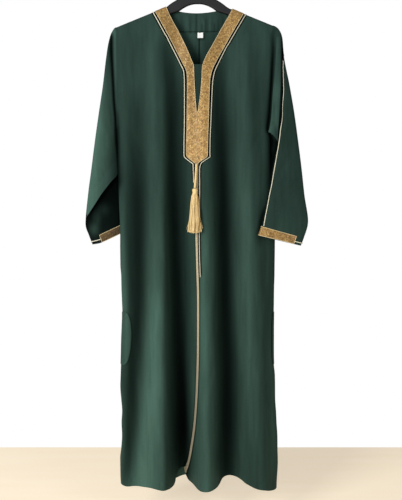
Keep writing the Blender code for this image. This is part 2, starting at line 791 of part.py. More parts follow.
def add_tassel(gold, collection):
    """A turned head whose underside is divided into one small face for each strand."""
    surface = body_point("front", TASSEL_X, station_at(TASSEL_TOP_DROP - NECK_DROP))[1]
    trim_face = surface - CLOTH / 2 - TRIM - 2 * SEAM_GAP
    cord_y = trim_face - TASSEL_CORD_RADIUS - TASSEL_CORD_GAP
    head_y = trim_face - TASSEL_HEAD_RADIUS - TASSEL_HEAD_GAP
    top, bottom = TASSEL_CORD_ROUTE[0][1], TASSEL_CORD_ROUTE[-1][1]
    cord = []
    for x, drop in TASSEL_CORD_ROUTE:
        forward = smooth((drop - top) / (bottom - top))
        cord.append((x, cord_y + (head_y - cord_y) * forward, -drop))
    tube("tassel_cord", cord, TASSEL_CORD_RADIUS, gold, collection, resolution=ROUND_CORD)

    mesh = bmesh.new()
    cap_radius = TASSEL_CAP_SHARE * TASSEL_HEAD_RADIUS
    bmesh.ops.create_circle(mesh, cap_ends=False, segments=STRAND_COLUMNS, radius=cap_radius)
    cap = list(mesh.edges)
    edges = cap
    for below, share in TASSEL_PROFILE:
        level = -below - TASSEL_CAP_HEIGHT
        edges, _ = grow_ring(mesh, edges, share * TASSEL_HEAD_RADIUS, level)
    bmesh.ops.holes_fill(mesh, edges=cap, sides=0)
    roots = []
    for ring in range(1, STRAND_RINGS + 1):
        radius = TASSEL_HEAD_RADIUS * (1 - ring / (STRAND_RINGS + 1))
        edges, faces = grow_ring(mesh, edges, radius, level)
        roots += faces
    bmesh.ops.holes_fill(mesh, edges=edges, sides=0)
    bmesh.ops.recalc_face_normals(mesh, faces=mesh.faces)
    bmesh.ops.inset_individual(mesh, faces=roots, thickness=STRAND_GAP, depth=0.0)
    places = [face.calc_center_median() for face in roots]
    ends = roots
    for down, out in STRAND_STEPS:
        ends = bmesh.ops.extrude_discrete_faces(mesh, faces=ends)["faces"]
        for number, (face, root) in enumerate(zip(ends, places, strict=True)):
            place_strand(face, root, number, down, out)
    data = bpy.data.meshes.new("tassel")
    for vert in mesh.verts:
        vert.co *= MM
    mesh.to_mesh(data)
    mesh.free()
    tassel = add_object("tassel", data, gold, collection)
    tassel.location = Vector((TASSEL_X, head_y, -TASSEL_TOP_DROP)) * MM


def grow_ring(mesh, edges, radius, level):
    """Extrudes a ring of edges to a new radius and level; returns the new edges and faces."""
    grown = bmesh.ops.extrude_edge_only(mesh, edges=edges)["geom"]
    for vert in (item for item in grown if isinstance(item, bmesh.types.BMVert)):
        vert.co = Vector((vert.co.x, vert.co.y, 0)).normalized() * radius + Vector((0, 0, level))
    new_edges = [item for item in grown if isinstance(item, bmesh.types.BMEdge)]
    return new_edges, [item for item in grown if isinstance(item, bmesh.types.BMFace)]


def place_strand(face, root, number, down, out):
    """Moves a strand's end face down and outwards from its root, at a slightly uneven length."""
    end_x = root.x / TASSEL_HEAD_RADIUS * TASSEL_HALF_WIDTH * STRAND_SPREAD
    end_y = root.y / TASSEL_HEAD_RADIUS * TASSEL_HALF_DEPTH * STRAND_SPREAD - TASSEL_FORWARD
    uneven = STRAND_UNEVEN * math.sin(number * STRAND_TURN)
    drop = root.z - (TASSEL_LENGTH + root.z + uneven) * down
    target = Vector((root.x + (end_x - root.x) * out, root.y + (end_y - root.y) * out, drop))
    middle = face.calc_center_median()
    for vert in face.verts:
        offset = (vert.co - middle) * STRAND_WIDENING
        vert.co = target + Vector((offset.x, offset.y, 0))


# --- The hanger -----------------------------------------------------------------------------


def hanger_outline():
    """The whole outline, from the top of the neck round to it again."""
    tip_top = shoulder_drop(HANGER_HALF_LENGTH) + HANGER_CLEARANCE
    shoulder = (HANGER_SHOULDER_X, shoulder_drop(HANGER_SHOULDER_X) + HANGER_CLEARANCE)
    nose = [(HANGER_HALF_LENGTH + past, tip_top + below) for past, below in HANGER_NOSE]
    half = [*HANGER_NECK, shoulder, *nose, *HANGER_UNDERSIDE]
    mirrored = [(-x, drop) for x, drop in reversed(half[:-1])]
    return [(x, -drop) for x, drop in half + mirrored]


def hook_route():
    """From inside the hanger's neck up round the hook to its open end."""
    radius = HOOK_RADIUS + HOOK_WIRE
    points = [(x, 0, -drop) for x, drop in HOOK_SHANK]
    for angle in np.radians(np.linspace(*HOOK_TURN, HOOK_POINTS)):
        points.append((radius * math.cos(angle), 0, radius * math.sin(angle) - HOOK_RADIUS))
    return points


def add_hanger(plastic, collection):
    flat = bpy.data.curves.new("hanger_outline", "CURVE")
    flat.dimensions = "2D"
    flat.fill_mode = "BOTH"
    flat.extrude = (HANGER_THICKNESS / 2 - HANGER_ROUNDING) * MM
    flat.bevel_depth = HANGER_ROUNDING * MM
    flat.bevel_resolution = 1
    flat.offset = -HANGER_ROUNDING * MM
    outline = flat.splines.new("POLY")
    corners = hanger_outline()
    outline.points.add(len(corners) - 1)
    for control, (x, z) in zip(outline.points, corners, strict=True):
        control.co = (x * MM, z * MM, 0, 1)
    outline.use_cyclic_u = True
    arms_curve = bpy.data.objects.new("hanger_arms", flat)
    arms_curve.matrix_world = Matrix.Rotation(math.pi / 2, 4, "X")
    collection.objects.link(arms_curve)
    bpy.context.view_layer.update()
    hanger = mesh_of(arms_curve, "hanger", collection)
    hanger.data.materials.clear()
    hanger.data.materials.append(plastic)

    cutters = bpy.data.collections.new("cutters")
    bpy.context.scene.collection.children.link(cutters)
    hook_curve = tube("hook_route", hook_route(), HOOK_WIRE, plastic, cutters, resolution=ROUND_CORD)
    bpy.context.view_layer.update()
    hook = mesh_of(hook_curve, "hook", cutters)
    hook.hide_render = True
    hook.display_type = "WIRE"
    join = hanger.modifiers.new("hook", "BOOLEAN")
    join.operation = "UNION"
    join.solver = "EXACT"
    join.object = hook


def build():
    for old in list(bpy.data.objects):
        bpy.data.objects.remove(old)
    collection = bpy.data.collections.new("moroccan_kaftan")
    bpy.context.scene.collection.children.link(collection)
    cloth, galloon, cream, gold, plastic, label = (material(kind) for kind in FINISHES)
    panels = add_body(cloth, collection)
    add_neck_trim(panels, galloon, cream, collection)
    add_braid(panels, gold, collection)
    add_underlap(panels, cloth, collection)
    add_facing(panels, cloth, label, collection)
    add_pockets(panels, cloth, collection)
    add_sleeves(cloth, galloon, cream, collection)
    add_tassel(gold, collection)
    add_hanger(plastic, collection)


build()
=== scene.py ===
"""The looks of the moroccan kaftan on its hanger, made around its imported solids.

Sizes are in millimetres until a mesh is made. The origin is the inner crown of the hanger's hook,
+Z is up and the garment's front faces -Y. Right and left are the wearer's, so right is at -X.
A "drop" is measured down from the origin, and a "distance" sideways from the plane X = 0.
"""

import math

import bpy
import numpy as np
from mathutils import Matrix, Vector
from mathutils.bvhtree import BVHTree


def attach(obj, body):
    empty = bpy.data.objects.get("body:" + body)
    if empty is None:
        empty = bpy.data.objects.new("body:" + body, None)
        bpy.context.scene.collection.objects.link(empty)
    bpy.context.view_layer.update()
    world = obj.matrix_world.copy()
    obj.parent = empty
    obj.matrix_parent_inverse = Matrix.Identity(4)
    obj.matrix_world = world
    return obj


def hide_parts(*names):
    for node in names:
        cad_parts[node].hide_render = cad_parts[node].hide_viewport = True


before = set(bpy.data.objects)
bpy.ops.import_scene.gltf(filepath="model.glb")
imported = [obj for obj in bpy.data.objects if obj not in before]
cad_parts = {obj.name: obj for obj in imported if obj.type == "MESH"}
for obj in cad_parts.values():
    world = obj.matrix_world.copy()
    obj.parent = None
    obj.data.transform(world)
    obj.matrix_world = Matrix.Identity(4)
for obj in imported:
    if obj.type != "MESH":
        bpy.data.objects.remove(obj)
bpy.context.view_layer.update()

MM = 0.001
SIGN = {"right": -1, "left": 1}
# Where a table has both sides, the right is its first column after the drop and the left its second
COLUMN = {"right": 1, "left": 2}

# The photograph's frame: its size in pixels, its focal length in pixels and the camera's place
PHOTO_HEIGHT = 500
FOCAL_PIXELS = 726.9
CAMERA_PLACE = (12.2, -2100.0, -622.0)
CAMERA_PITCH = -5
SENSOR = 36.0

# Cloth: the walls that show, and the clearances between layers
CLOTH = 1.0
TRIM = 0.9
SEAM_GAP = 0.3
TRIM_LIFT = 1.25
CORD_LIFT = 0.75
UNDER_LIFT = -1.7
BACK_SEAM_GAP = 0.02
BACK_SEAM_GROOVE = 0.5
BACK_SEAM_WIDTH = 1.6
BACK_SEAM_SHADE = 2.2
BACK_SEAM_SHADOW = 0.85
TRIM_SHADOW = 0.96
TRIM_SHADE_START = 0.8
TRIM_SHADE_REACH = 5.6
TRIM_SHADE_FADE = 2.4
BRAID_SHADOW = 0.75
BRAID_SHADE_REACH = 1.6
# The label's shadow on the back's inside: x, drop, half width, half height, strength
LABEL_SHADOW = (12.5, 196, 11.5, 10.5, 0.8)
# A fold this deep would change the light on the back by 1
FULL_LIGHT_FOLD = 60
BACK_LIGHT_LIMITS = (0.06, 0.95)
LEFT_SLEEVE_LIGHT = 0.35
SLEEVE_DRIFT = 0.6

NECK_DROP = 119
SHOULDER_SLOPE = 0.40
NECK_POINT = {"right": 84, "left": 98}
HEM_DROP = 1500
BACK_SEAM_X = 7
BACK_NECK_CUT = 15.3
BACK_NECK_TURN = 20
BACK_NECK_SAG = 5.3
BACK_NECK_LEAST_SAG = -0.3
BACK_NECK_HALF_WIDTH = 52
RIDGE_FLAT = 3.0
RIDGE_RADIUS = 5.5
BODY_SWELL = 10
BODY_SWELL_LENGTH = 70
BODY_FLARE = 0.012
LEVEL_DEPTH = 410
LEVEL_FADE = 265
SIDE_ROUNDING = 35
ARMPIT_DROP = 458
ARMHOLE_CLOSING = 62
ARMHOLE_HALF_DEPTH = 14
SEAM_STRIP = 2.5
SLIT_TOP_DROP = 288
SLIT_END_DROP = 413
BAND_JOIN_DROP = 400
BAND_POINT_DROP = 557
BACK_LEVEL_STATION = 200
FOLD_TOP_DROP = 180
FOLD_FADE_DEPTH = 120
FOLD_GROWTH = 1.2
HEM_RISE_LENGTH = 250
CREASE_FADE_DEPTH = 60
DRIFT_TOP_DROP = 240
DRIFT_FADE = 500

# The two front panels' inner edge: (drop, distance on the right, distance on the left)
NECK_EDGE = (
    (118, 86.2, 100.6), (150, 72, 86.6), (190, 49.8, 63.9), (230, 29.8, 41.9), (262, 16.5, 24.3),
    (288, 7.2, 15.3), (325, 6.1, 13), (370, 4.4, 7.9), (400, 2.5, 3), (411, 1.2, 1.2), (413, 0, 0),
)
# The centre-front line, which is a seam below the slit: (drop, x)
CENTRE_LINE = (
    (118, 2), (413, 2), (620, 1.5), (760, 0), (806, 0.8), (952, 4.5), (1080, 4.2), (1210, 0.8),
    (1310, -5.5), (1410, -18.5), (1500, -36.5),
)
# The galloon's outer edge: (drop at the edge, distance on the right, distance on the left)
BAND_EDGE = (
    (130, 118.5, 137), (194, 83.2, 99.6), (228, 64.8, 79.6), (274, 40.5, 54), (302, 28.3, 42),
    (330, 26.6, 37), (435, 28, 33.5), (480, 30, 31), (522, 31.2, 29.5), (533, 31, 29.2),
    (538, 28.5, 27.8), (545, 21, 18.8), (551, 13.7, 10.3), (555, 8.5, 5), (559, 4.2, 4.2),
    (1500, 4.2, 4.2),
)
# How far the neck's cord lies outside the galloon's edge: (drop, distance right, distance left)
CORD_MARGIN = (
    (118, 5.5, 6), (190, 6, 6), (227, 7.2, 6), (268, 7.2, 8), (324, 7.4, 7.7), (440, 6.2, 6),
    (522, 5.7, 5.7), (533, 6, 6.2), (541, 8, 8.2), (553, 8, 8.2), (560, 7.4, 6), (568, 7.2, 3.5),
    (580, 6.6, 3), (620, 5.2, 3.4), (700, 3.8, 3.8), (1500, 3.8, 3.8),
)
NECK_CORD_END = {"right": 612, "left": 880}
NECK_CORD_RADIUS = 1.35
SLEEVE_CORD_RADIUS = 1.2
# A laid cord's plies, as shares of its radius: how far out each lies, and its own radius
PLY_OFFSET = 0.48
PLY_RADIUS = 0.56
# The body's side edge: (drop, distance on the right, distance on the left)
SIDE_EDGE = (
    (459, 225.2, 212.2), (480, 225.2, 213), (520, 225.5, 219), (640, 224, 223), (760, 221, 225.5),
    (800, 221.4, 225.6), (850, 221.2, 225.4), (880, 219.2, 225.3), (917, 218.7, 224.4),
    (960, 217.4, 224.2), (993, 216.6, 224), (1029, 218, 223.8), (1065, 219.8, 224),
    (1110, 221.2, 224.4), (1140, 222.2, 225.5), (1172, 223.4, 228.9), (1208, 224.8, 229.9),
    (1245, 222.5, 230.5), (1281, 220.1, 233.3), (1317, 222.2, 235.4), (1353, 221, 238.1),
    (1390, 223.5, 238.8), (1425, 227.3, 240), (1480, 227, 237.5), (1500, 226, 237),
)
ARMHOLE_X = {"right": 226, "left": 213}

# Folds run from the shoulder to the hem. Columns: x at the top, x at the hem, depth at the top,
# depth at the hem (outward is positive), half width at the top, half width at the hem
FRONT_FOLDS = (
    (-178, -176, -2, -12, 28, 38), (-112, -100, 5, 40, 38, 55), (-58, -41, -7, -60, 36, 58),
    (22, 29, 3, 40, 40, 50), (82, 95, -6, -36, 34, 48), (136, 186, 6, 32, 36, 56),
)
BACK_FOLDS = (
    (-135, -150, 4, 24, 40, 52), (-80, -92, -4, -24, 36, 46), (-28, -22, 3, 26, 36, 50),
    (32, 42, -5, -28, 36, 46), (92, 104, 4, 24, 36, 48), (146, 164, -3, -16, 34, 44),
)
# How far the front hem rises where it is drawn into its folds: (x, rise)
HEM_LINE = (
    (-230, 0), (-192, -1.5), (-157, -3.5), (-139, 0), (-112, 5.5), (-90, 2.5), (-72, -3), (-66, -1),
    (-60.5, 24), (-50, 35), (-40, 37), (-32, 11), (-23, 0), (-10, -2), (3, -4), (18, -1), (35, 1),
    (60, 1.5), (69, 8), (76, 17.5), (92, 20.6), (119, 22), (130, 19.5), (145, 10.5), (163, 6.5),
    (190, 3), (200, 0), (217, -10), (228, -14),
)

# Creases in the body. Columns: x and drop of its start, x and drop of its end, sideways bow,
# height (a trough is negative), half width
FRONT_CREASES = (
    (-128, 190, -122, 520, 4, 1.6, 9), (-98, 200, -92, 620, -5, -1.8, 10),
    (-150, 240, -168, 640, 6, -1.5, 12), (-190, 250, -200, 470, 4, 1.2, 12),
    (-70, 330, -62, 760, 3, -1.6, 11), (62, 300, 58, 700, -4, -1.8, 11),
    (118, 190, 112, 560, 5, 1.6, 10), (158, 210, 166, 520, -4, -1.4, 10),
    (186, 230, 190, 430, 3, 1.1, 9), (-208, 440, -150, 560, 10, -1.4, 10),
    (-206, 470, -176, 640, 8, 1.3, 9), (196, 440, 150, 560, -9, -1.3, 9),
    (200, 480, 178, 640, -6, 1.2, 9), (-196, 620, -190, 1010, 4, -1.6, 10),
    (-152, 700, -142, 1180, -5, 1.8, 12), (-84, 720, -76, 1200, 4, -2.0, 12),
    (-24, 640, -18, 1100, 3, 1.4, 10), (46, 700, 52, 1250, -4, 1.5, 11),
    (116, 640, 124, 1150, 5, 1.8, 12), (168, 660, 176, 1200, -5, -1.8, 12),
    (205, 600, 212, 960, 3, 1.2, 9), (8, 1180, 40, 1020, 4, 1.6, 8), (14, 1290, 52, 1120, 4, -1.4, 8),
    (60, 1180, 84, 1040, -4, 1.2, 8), (-206, 1180, -200, 1480, 3, -2.0, 10),
    (-140, 1220, -132, 1490, -4, -2.2, 11), (-86, 1190, -72, 1490, 4, 2.0, 10),
    (-10, 1250, 6, 1490, -4, -1.8, 10), (66, 1200, 62, 1490, 4, 1.8, 9),
    (120, 1210, 132, 1490, -4, 2.2, 10), (160, 1230, 172, 1490, 4, -2.0, 10),
    (214, 1200, 220, 1480, -3, -1.6, 9),
)
BACK_CREASES = (
    (-180, 230, -186, 620, 5, -1.6, 11), (-120, 200, -112, 600, -5, 1.7, 10),
    (-60, 210, -54, 640, 4, -1.5, 10), (12, 200, 14, 560, 4, 1.3, 9), (70, 220, 66, 640, -4, 1.6, 10),
    (128, 200, 134, 600, 5, -1.7, 11), (180, 240, 184, 520, -4, 1.3, 10),
    (-204, 460, -160, 580, 9, 1.4, 10), (196, 450, 156, 570, -9, 1.3, 10),
    (-172, 680, -180, 1200, -5, 1.8, 12), (-110, 700, -118, 1250, 4, -1.9, 11),
    (-50, 680, -56, 1150, -4, 1.6, 11), (4, 720, 8, 1300, 4, -1.5, 10),
    (70, 700, 76, 1220, -4, -1.8, 11), (126, 660, 134, 1180, 5, 1.6, 11),
    (190, 640, 198, 1100, -4, -1.5, 10), (-206, 1180, -210, 1490, 4, -1.6, 10),
    (-134, 1200, -130, 1490, -4, 1.9, 10), (-60, 1230, -62, 1490, 4, -1.8, 10),
    (14, 1220, 20, 1490, -4, 1.7, 10), (80, 1200, 84, 1490, 4, -1.8, 10),
    (146, 1220, 152, 1490, -4, 1.8, 10), (206, 1200, 212, 1490, 4, -1.4, 9),
)

# The light and shade painted into the cloth's colour, from 0, black, to 1: its level, then the hollows
# whose painted shade darkens it and the gleams whose painted highlights lighten it. Columns: drop, x, reach
# towards -X, reach towards +X, strength
LIGHT_LEVEL = ((119, 0.47), (260, 0.42), (420, 0.36), (700, 0.40), (1000, 0.48), (1500, 0.48))
FRONT_HOLLOW_SHADE = (
    (
        (330, -172, 30, 26, 0.0), (450, -172, 40, 26, 0.35), (661, -168, 40, 28, 0.80),
        (835, -168, 32, 27, 0.84), (1009, -173, 30, 28, 0.84), (1183, -190, 24, 34, 0.78),
        (1328, -199, 16, 30, 0.78), (1444, -207, 12, 20, 0.6), (1500, -212, 10, 14, 0.3),
    ),
    (
        (180, -92, 20, 18, 0.0), (255, -84, 24, 26, 0.4), (371, -70, 24, 40, 0.62),
        (516, -64, 27, 38, 0.74), (661, -62, 28, 36, 0.80), (835, -57, 28, 32, 0.85),
        (1009, -50, 31, 30, 0.89), (1183, -44, 36, 27, 0.95), (1328, -39, 39, 25, 0.99),
        (1420, -38, 38, 24, 0.9), (1500, -36, 30, 22, 0.6),
    ),
    (
        (200, 58, 16, 18, 0.0), (255, 58, 18, 24, 0.3), (371, 62, 22, 28, 0.6), (516, 68, 24, 28, 0.78),
        (661, 78, 28, 28, 0.86), (835, 82, 30, 28, 0.90), (1009, 88, 32, 28, 0.93),
        (1183, 92, 34, 32, 0.94), (1328, 92, 34, 36, 0.93), (1444, 90, 32, 36, 0.85),
        (1500, 90, 30, 34, 0.7),
    ),
    (
        (400, -226, 4, 6, 0.0), (430, -226, 4, 8, 0.6), (490, -226, 4, 10, 0.85),
        (533, -226, 4, 10, 0.9), (581, -226, 4, 13, 0.9), (604, -226, 4, 14, 0.92),
        (640, -226, 4, 6, 0.6), (690, -226, 4, 4, 0.0),
    ),
    (
        (440, 214, 18, 16, 0.0), (516, 212, 22, 16, 0.2), (700, 202, 26, 26, 0.24),
        (1100, 194, 34, 26, 0.24), (1500, 184, 34, 28, 0.28),
    ),
)
FRONT_GLEAMS = (
    (
        (300, -100, 10, 12, 0.0), (408, -100, 10, 12, 0.10), (660, -100, 10, 12, 0.14),
        (835, -100, 10, 12, 0.13), (1009, -100, 10, 12, 0.06), (1500, -98, 10, 12, 0.06),
    ),
    (
        (150, -128, 12, 12, 0.0), (371, -124, 16, 14, 0.14), (661, -124, 22, 18, 0.10),
        (835, -124, 24, 20, 0.26), (1009, -122, 26, 26, 0.34), (1183, -128, 34, 28, 0.34),
        (1500, -148, 50, 34, 0.36),
    ),
    (
        (640, -216, 7, 9, 0.0), (720, -213, 9, 10, 0.15), (800, -213, 9, 10, 0.35),
        (940, -213, 9, 10, 0.4), (975, -213, 9, 10, 0.4), (995, -213, 9, 10, 0.0),
    ),
    (
        (640, 16, 20, 22, 0.0), (835, 20, 22, 29, 0.27), (1009, 20, 23, 27, 0.29),
        (1183, 30, 30, 32, 0.27), (1500, 34, 32, 34, 0.25),
    ),
    (
        (180, 132, 16, 14, 0.0), (371, 132, 18, 16, 0.15), (835, 144, 24, 20, 0.12),
        (1200, 160, 20, 20, 0.04), (1500, 168, 20, 20, 0.0),
    ),
)

# The shadow beside the left sleeve's flap, and below it along the sleeve's inner edge
SLEEVE_SHADOW = (
    (175, 216, 7, 7, 0), (199, 212.1, 7, 8.5, 0.5), (222, 213.3, 7, 8, 0.72), (242, 214.3, 8, 8, 0.85),
    (271, 213.2, 7.3, 7.3, 0.96), (308, 211.3, 6.8, 7.3, 1), (366, 208.6, 7.3, 5.8, 1),
    (430, 204.4, 7.3, 5.8, 0.98), (463, 199.8, 5.8, 5.8, 0.95), (480, 210.7, 8.5, 9, 1),
    (497, 212.3, 8, 10, 1), (519, 210.2, 7, 8, 0.98), (561, 211.4, 7.5, 5, 0.97),
    (604, 210.3, 8.5, 4, 0.75), (661, 201.7, 5, 4, 0.5), (704, 188.3, 8, 6, 0.8),
    (733, 182.8, 9, 6, 0.8), (764, 179, 12, 10, 0.5), (800, 178, 12, 10, 0),
)
# Painted shade in the left sleeve's hollows, in the columns above
LEFT_SLEEVE_HOLLOW_SHADE = (
    SLEEVE_SHADOW,
    (
        (190, 238, 3, 8, 0.2), (200, 240.5, 4.5, 10, 1.0), (230, 241.5, 4.5, 8, 1.0),
        (275, 241.4, 4.5, 3.8, 1.0), (311, 241.5, 4.5, 3.5, 1.0), (366, 240, 4.5, 3.5, 1.0),
        (430, 235.2, 5, 3.5, 1.0), (466, 232.2, 6.5, 3.5, 1.0), (497, 226, 12, 6, 1.0),
        (519, 222, 11, 7, 1.0), (535, 218, 10, 8, 1.0), (554, 214, 8, 6, 1.0), (580, 209, 6, 5, 0.7),
        (620, 206, 5, 5, 0.0),
    ),
)
# Painted shade in the right sleeve's hollows, in the columns above
RIGHT_SLEEVE_HOLLOW_SHADE = (
    (
        (190, -239.5, 4, 4, 0.3), (204, -240, 6, 6, 0.97), (239, -240.2, 7, 6, 1.0),
        (281, -238.2, 6.5, 5.2, 1.0), (322, -236.5, 6, 5, 1.0), (378, -234.4, 6, 5, 1.0),
        (434, -231.4, 6, 6.5, 1.0), (489, -231.5, 6, 7.5, 1.0), (532, -228.5, 5.5, 9, 1.0),
        (580, -226.1, 5, 9, 1.0),
    ),
    (
        (200, -237, 14, 12, 0.1), (270, -243, 22, 12, 0.35), (308, -241, 24, 12, 0.45),
        (366, -238, 26, 12, 0.5), (428, -234, 30, 12, 0.5), (490, -232, 28, 12, 0.5),
        (600, -226, 26, 12, 0.6),
    ),
)
# A lit ridge of the right sleeve between its valley and the armhole seam
RIGHT_SLEEVE_RIDGE = (
    (180, -231, 5, 7, 0.0), (190, -231, 5, 7, 0.4), (240, -231, 5, 7, 0.3), (272, -231, 5, 7, 0.28),
    (308, -231, 5, 7, 0.15), (366, -231, 5, 7, 0.0),
)
# The right sleeve's painted light: a highlight along its outer edge that falls to painted shade over this
# reach, times a level by drop
SLEEVE_GLEAM = 0.95
SLEEVE_SHADE_LEVEL = 0.34
SLEEVE_GLEAM_REACH = 72
SLEEVE_GLEAM_LEVEL = ((150, 0.5), (250, 0.6), (371, 0.95), (700, 1.0))
# Painted shade on the right forearm behind the sleeve's fold: its light below the fold, its light towards
# the cuff, and the length over which it changes
FOREARM_DARK = 0.0
FOREARM_LIGHT = 0.05
FOREARM_FADE = 130
# A lit facet at the top of the right sleeve: x, drop, half width, half height, strength
SHOULDER_GLEAM = (-237, 188, 6, 12, 0.35)
# Softly lit patches of the right forearm: x, drop, half width, half height, strength
FOREARM_GLEAMS = ((-272, 690, 16, 16, 0.09), (-294, 715, 12, 20, 0.14), (-303, 748, 12, 18, 0.35))

# Sleeves: one row for each ring, from the armhole to the cuff. Columns: outer x, drop and y,
# inner x, drop and y, half thickness, and the armhole's share in the section. Forward y is negative.
SLEEVE_RINGS = {
    "left": (
        (213.06, 170.7, 0, 213.06, 458, 0, 12, 1.0), (215.8, 171.2, 0, 215.8, 458, 0, 12, 1.0),
        (227, 177.5, 0, 212.6, 463, -5, 12, 0.7), (240.5, 202, -1, 211.2, 481, -16, 11, 0.4),
        (246.4, 258, -4, 212, 508, -27, 11, 0.15), (261.5, 333, -9, 212.5, 540, -35, 11, 0.0),
        (275, 410, -15, 212, 575, -42, 10, 0.0), (286.8, 495, -23, 209.5, 612, -46, 10, 0.0),
        (296.5, 575, -32, 203, 650, -48, 10, 0.0), (303.8, 645, -40, 196, 684, -49, 10, 0.0),
        (314.5, 719, -45, 189, 711, -50, 10, 0.0), (303, 766, -47, 184, 733, -50, 9, 0.0),
        (294.5, 789, -47, 175.4, 760.7, -50, 9, 0.0),
    ),
    "right": (
        (-226.06, 175.9, 0, -226.06, 458, 0, 12, 1.0), (-228.8, 176.6, 0, -228.8, 458, 0, 12, 1.0),
        (-239, 190, 0, -227.8, 463, 5, 12, 0.7), (-248, 218, 2, -226.8, 481, 15, 11, 0.4),
        (-257, 266, 5, -225, 508, 26, 11, 0.15), (-267, 335, 9, -222, 540, 35, 11, 0.0),
        (-280, 410, 14, -219, 575, 41, 10, 0.0), (-293.4, 490, 21, -216, 610, 45, 10, 0.0),
        (-306, 570, 30, -213, 642, 47, 10, 0.0), (-318, 645, 38, -211, 670, 47, 10, 0.0),
        (-328, 731, 44, -209, 694, 48, 10, 0.0), (-319, 765, 46, -208, 716, 48, 9, 0.0),
        (-308.5, 793, 47, -197, 745, 48, 9, 0.0),
    ),
}
# How many finer rings follow each ring of the table
RING_STEPS = (1, 3, 5, 7, 9, 10, 10, 10, 10, 9, 9, 12)
SECTION_POWER = 3.5
CUFF_RING = 11
CUFF_GAP = {"right": 0.171, "left": 0.1387}
CUFF_CORD_PLACE = {"right": 0.7, "left": 0.65}
CUFF_BAND_REACH = {"right": (0.36, 0.985), "left": (0.07, 0.93)}
# How much lower the right cuff's edge hangs: (share from its outer edge, drop)
CUFF_BULGE = ((0.0, 0.0), (0.25, 6.0), (0.5, 5.2), (0.75, 4.0), (1.0, 3.0))
FLAP_HEIGHT = 6
FLAP_INNER_X = 213
FLAP_OUTER_X = 240
FLAP_EDGE = 6
FLAP_END_DROP = 470
FLAP_END_FADE = 40
ARM_FOLD_HEIGHT = 7
ARM_FOLD_FADE = 20
# The lower edge of the right sleeve's fold over the forearm: (distance, drop)
ARM_FOLD_EDGE = (
    (226, 568), (227.3, 574), (228, 580), (231.6, 590.4), (239.8, 599.6), (247.2, 607), (262, 625),
    (276.8, 644), (291.6, 666), (306.5, 688), (318.5, 705), (326, 715),
)
ARM_FOLD_LENGTH = 46
# The left sleeve's flap, from its top to its lower corner: (share, x, drop) of its two edges
FLAP_OUTER_LINE = (
    (0, 225, 203), (0.14, 223.4, 242.7), (0.25, 222.2, 270), (0.4, 218.6, 311), (0.6, 213.8, 366.5),
    (0.84, 209.2, 430.3), (0.95, 205.3, 458), (1, 202.4, 469.2),
)
FLAP_INNER_LINE = (
    (0, 237.1, 203), (0.14, 237.4, 242), (0.25, 237.1, 275), (0.4, 236, 311), (0.6, 233.8, 366),
    (0.84, 230.2, 436), (1, 227.1, 496.9),
)
# The cord over each arm: (share of its length, ring number, angle round the section in degrees)
SLEEVE_CORD = {
    "left": (
        (0.000, 2.12, -20.0), (0.038, 2.65, -25.5), (0.079, 3.20, -25.5), (0.120, 3.80, -8.0),
        (0.142, 3.95, 4.0), (0.167, 3.90, 30.0), (0.231, 4.20, 45.0), (0.322, 4.60, 60.0),
        (0.408, 4.83, 78.5), (0.487, 5.08, 95.0), (0.564, 5.43, 109.5), (0.678, 6.00, 138.0),
        (0.771, 6.85, 160.0), (0.874, 8.20, 168.0), (1.000, 10.95, 160.0),
    ),
    "right": (
        (0.000, 2.15, -18.5), (0.080, 2.98, -34.5), (0.200, 3.80, -50.5), (0.339, 4.65, -63.5),
        (0.458, 5.23, -78.5), (0.582, 5.90, -93.5), (0.718, 6.70, -114.0), (1.000, 10.60, -155.5),
    ),
}
SLEEVE_CORD_SHIFT = {"right": 0.0, "left": 1.5}
SLEEVE_CORD_SHIFT_DROP = 380
SLEEVE_CORD_SHIFT_FADE = 40
# The cord sinks under the flap's edge: (share of its length, share of its thickness)
SLEEVE_CORD_SIZE = {
    "right": ((0.0, 1.0), (1.0, 1.0)),
    "left": ((0.0, 0.85), (0.2, 0.8), (0.35, 0.7), (0.42, 0.5), (0.46, 0.6), (0.5, 1.0), (1.0, 1.1)),
}
# Creases in the sleeves, in the columns of the body's creases, for each face
SLEEVE_CREASES = {
    ("left", "front"): (
        (250, 230, 262, 420, 3, -1.4, 7), (262, 330, 232, 470, -8, -1.6, 8),
        (272, 420, 228, 560, -10, 1.8, 9), (284, 520, 226, 620, -12, -2.0, 9),
        (296, 600, 214, 668, -12, 2.0, 9), (304, 668, 210, 706, -10, -1.8, 8),
        (300, 720, 270, 752, 4, 1.2, 7), (226, 620, 206, 740, 4, -1.4, 7),
    ),
    ("left", "back"): (
        (236, 220, 250, 430, 3, 1.4, 8), (264, 380, 230, 520, -9, -1.7, 9),
        (280, 500, 224, 610, -10, 1.8, 9), (296, 610, 212, 680, -12, -1.9, 9),
        (300, 700, 240, 740, -6, 1.3, 8),
    ),
    ("right", "front"): (
        (-240, 240, -236, 440, 3, -1.6, 7), (-262, 330, -240, 480, 6, -1.2, 8),
        (-276, 430, -246, 520, 6, 1.3, 8), (-292, 560, -236, 640, 8, -1.4, 8),
        (-310, 650, -232, 690, 8, 1.6, 8), (-316, 720, -270, 756, -4, -1.2, 7),
    ),
    ("right", "back"): (
        (-246, 230, -256, 430, -3, 1.4, 8), (-268, 380, -240, 520, 8, -1.7, 9),
        (-286, 500, -232, 600, 10, 1.8, 9), (-304, 610, -226, 670, 10, -1.9, 9),
        (-312, 700, -250, 730, 6, 1.3, 8),
    ),
}

TASSEL_X = -5
TASSEL_TOP_DROP = 627
TASSEL_LENGTH = 127
TASSEL_HEAD_RADIUS = 8.0
TASSEL_HALF_WIDTH = 21
TASSEL_HALF_DEPTH = 11
TASSEL_FORWARD = 14
TASSEL_HEAD_GAP = 1.6
TASSEL_CORD_RADIUS = 3.3
TASSEL_CORD_GAP = 0.6
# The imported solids' walls, in front of which the tassel hangs
SOLID_CLOTH = 1.5
SOLID_TRIM = 1.2
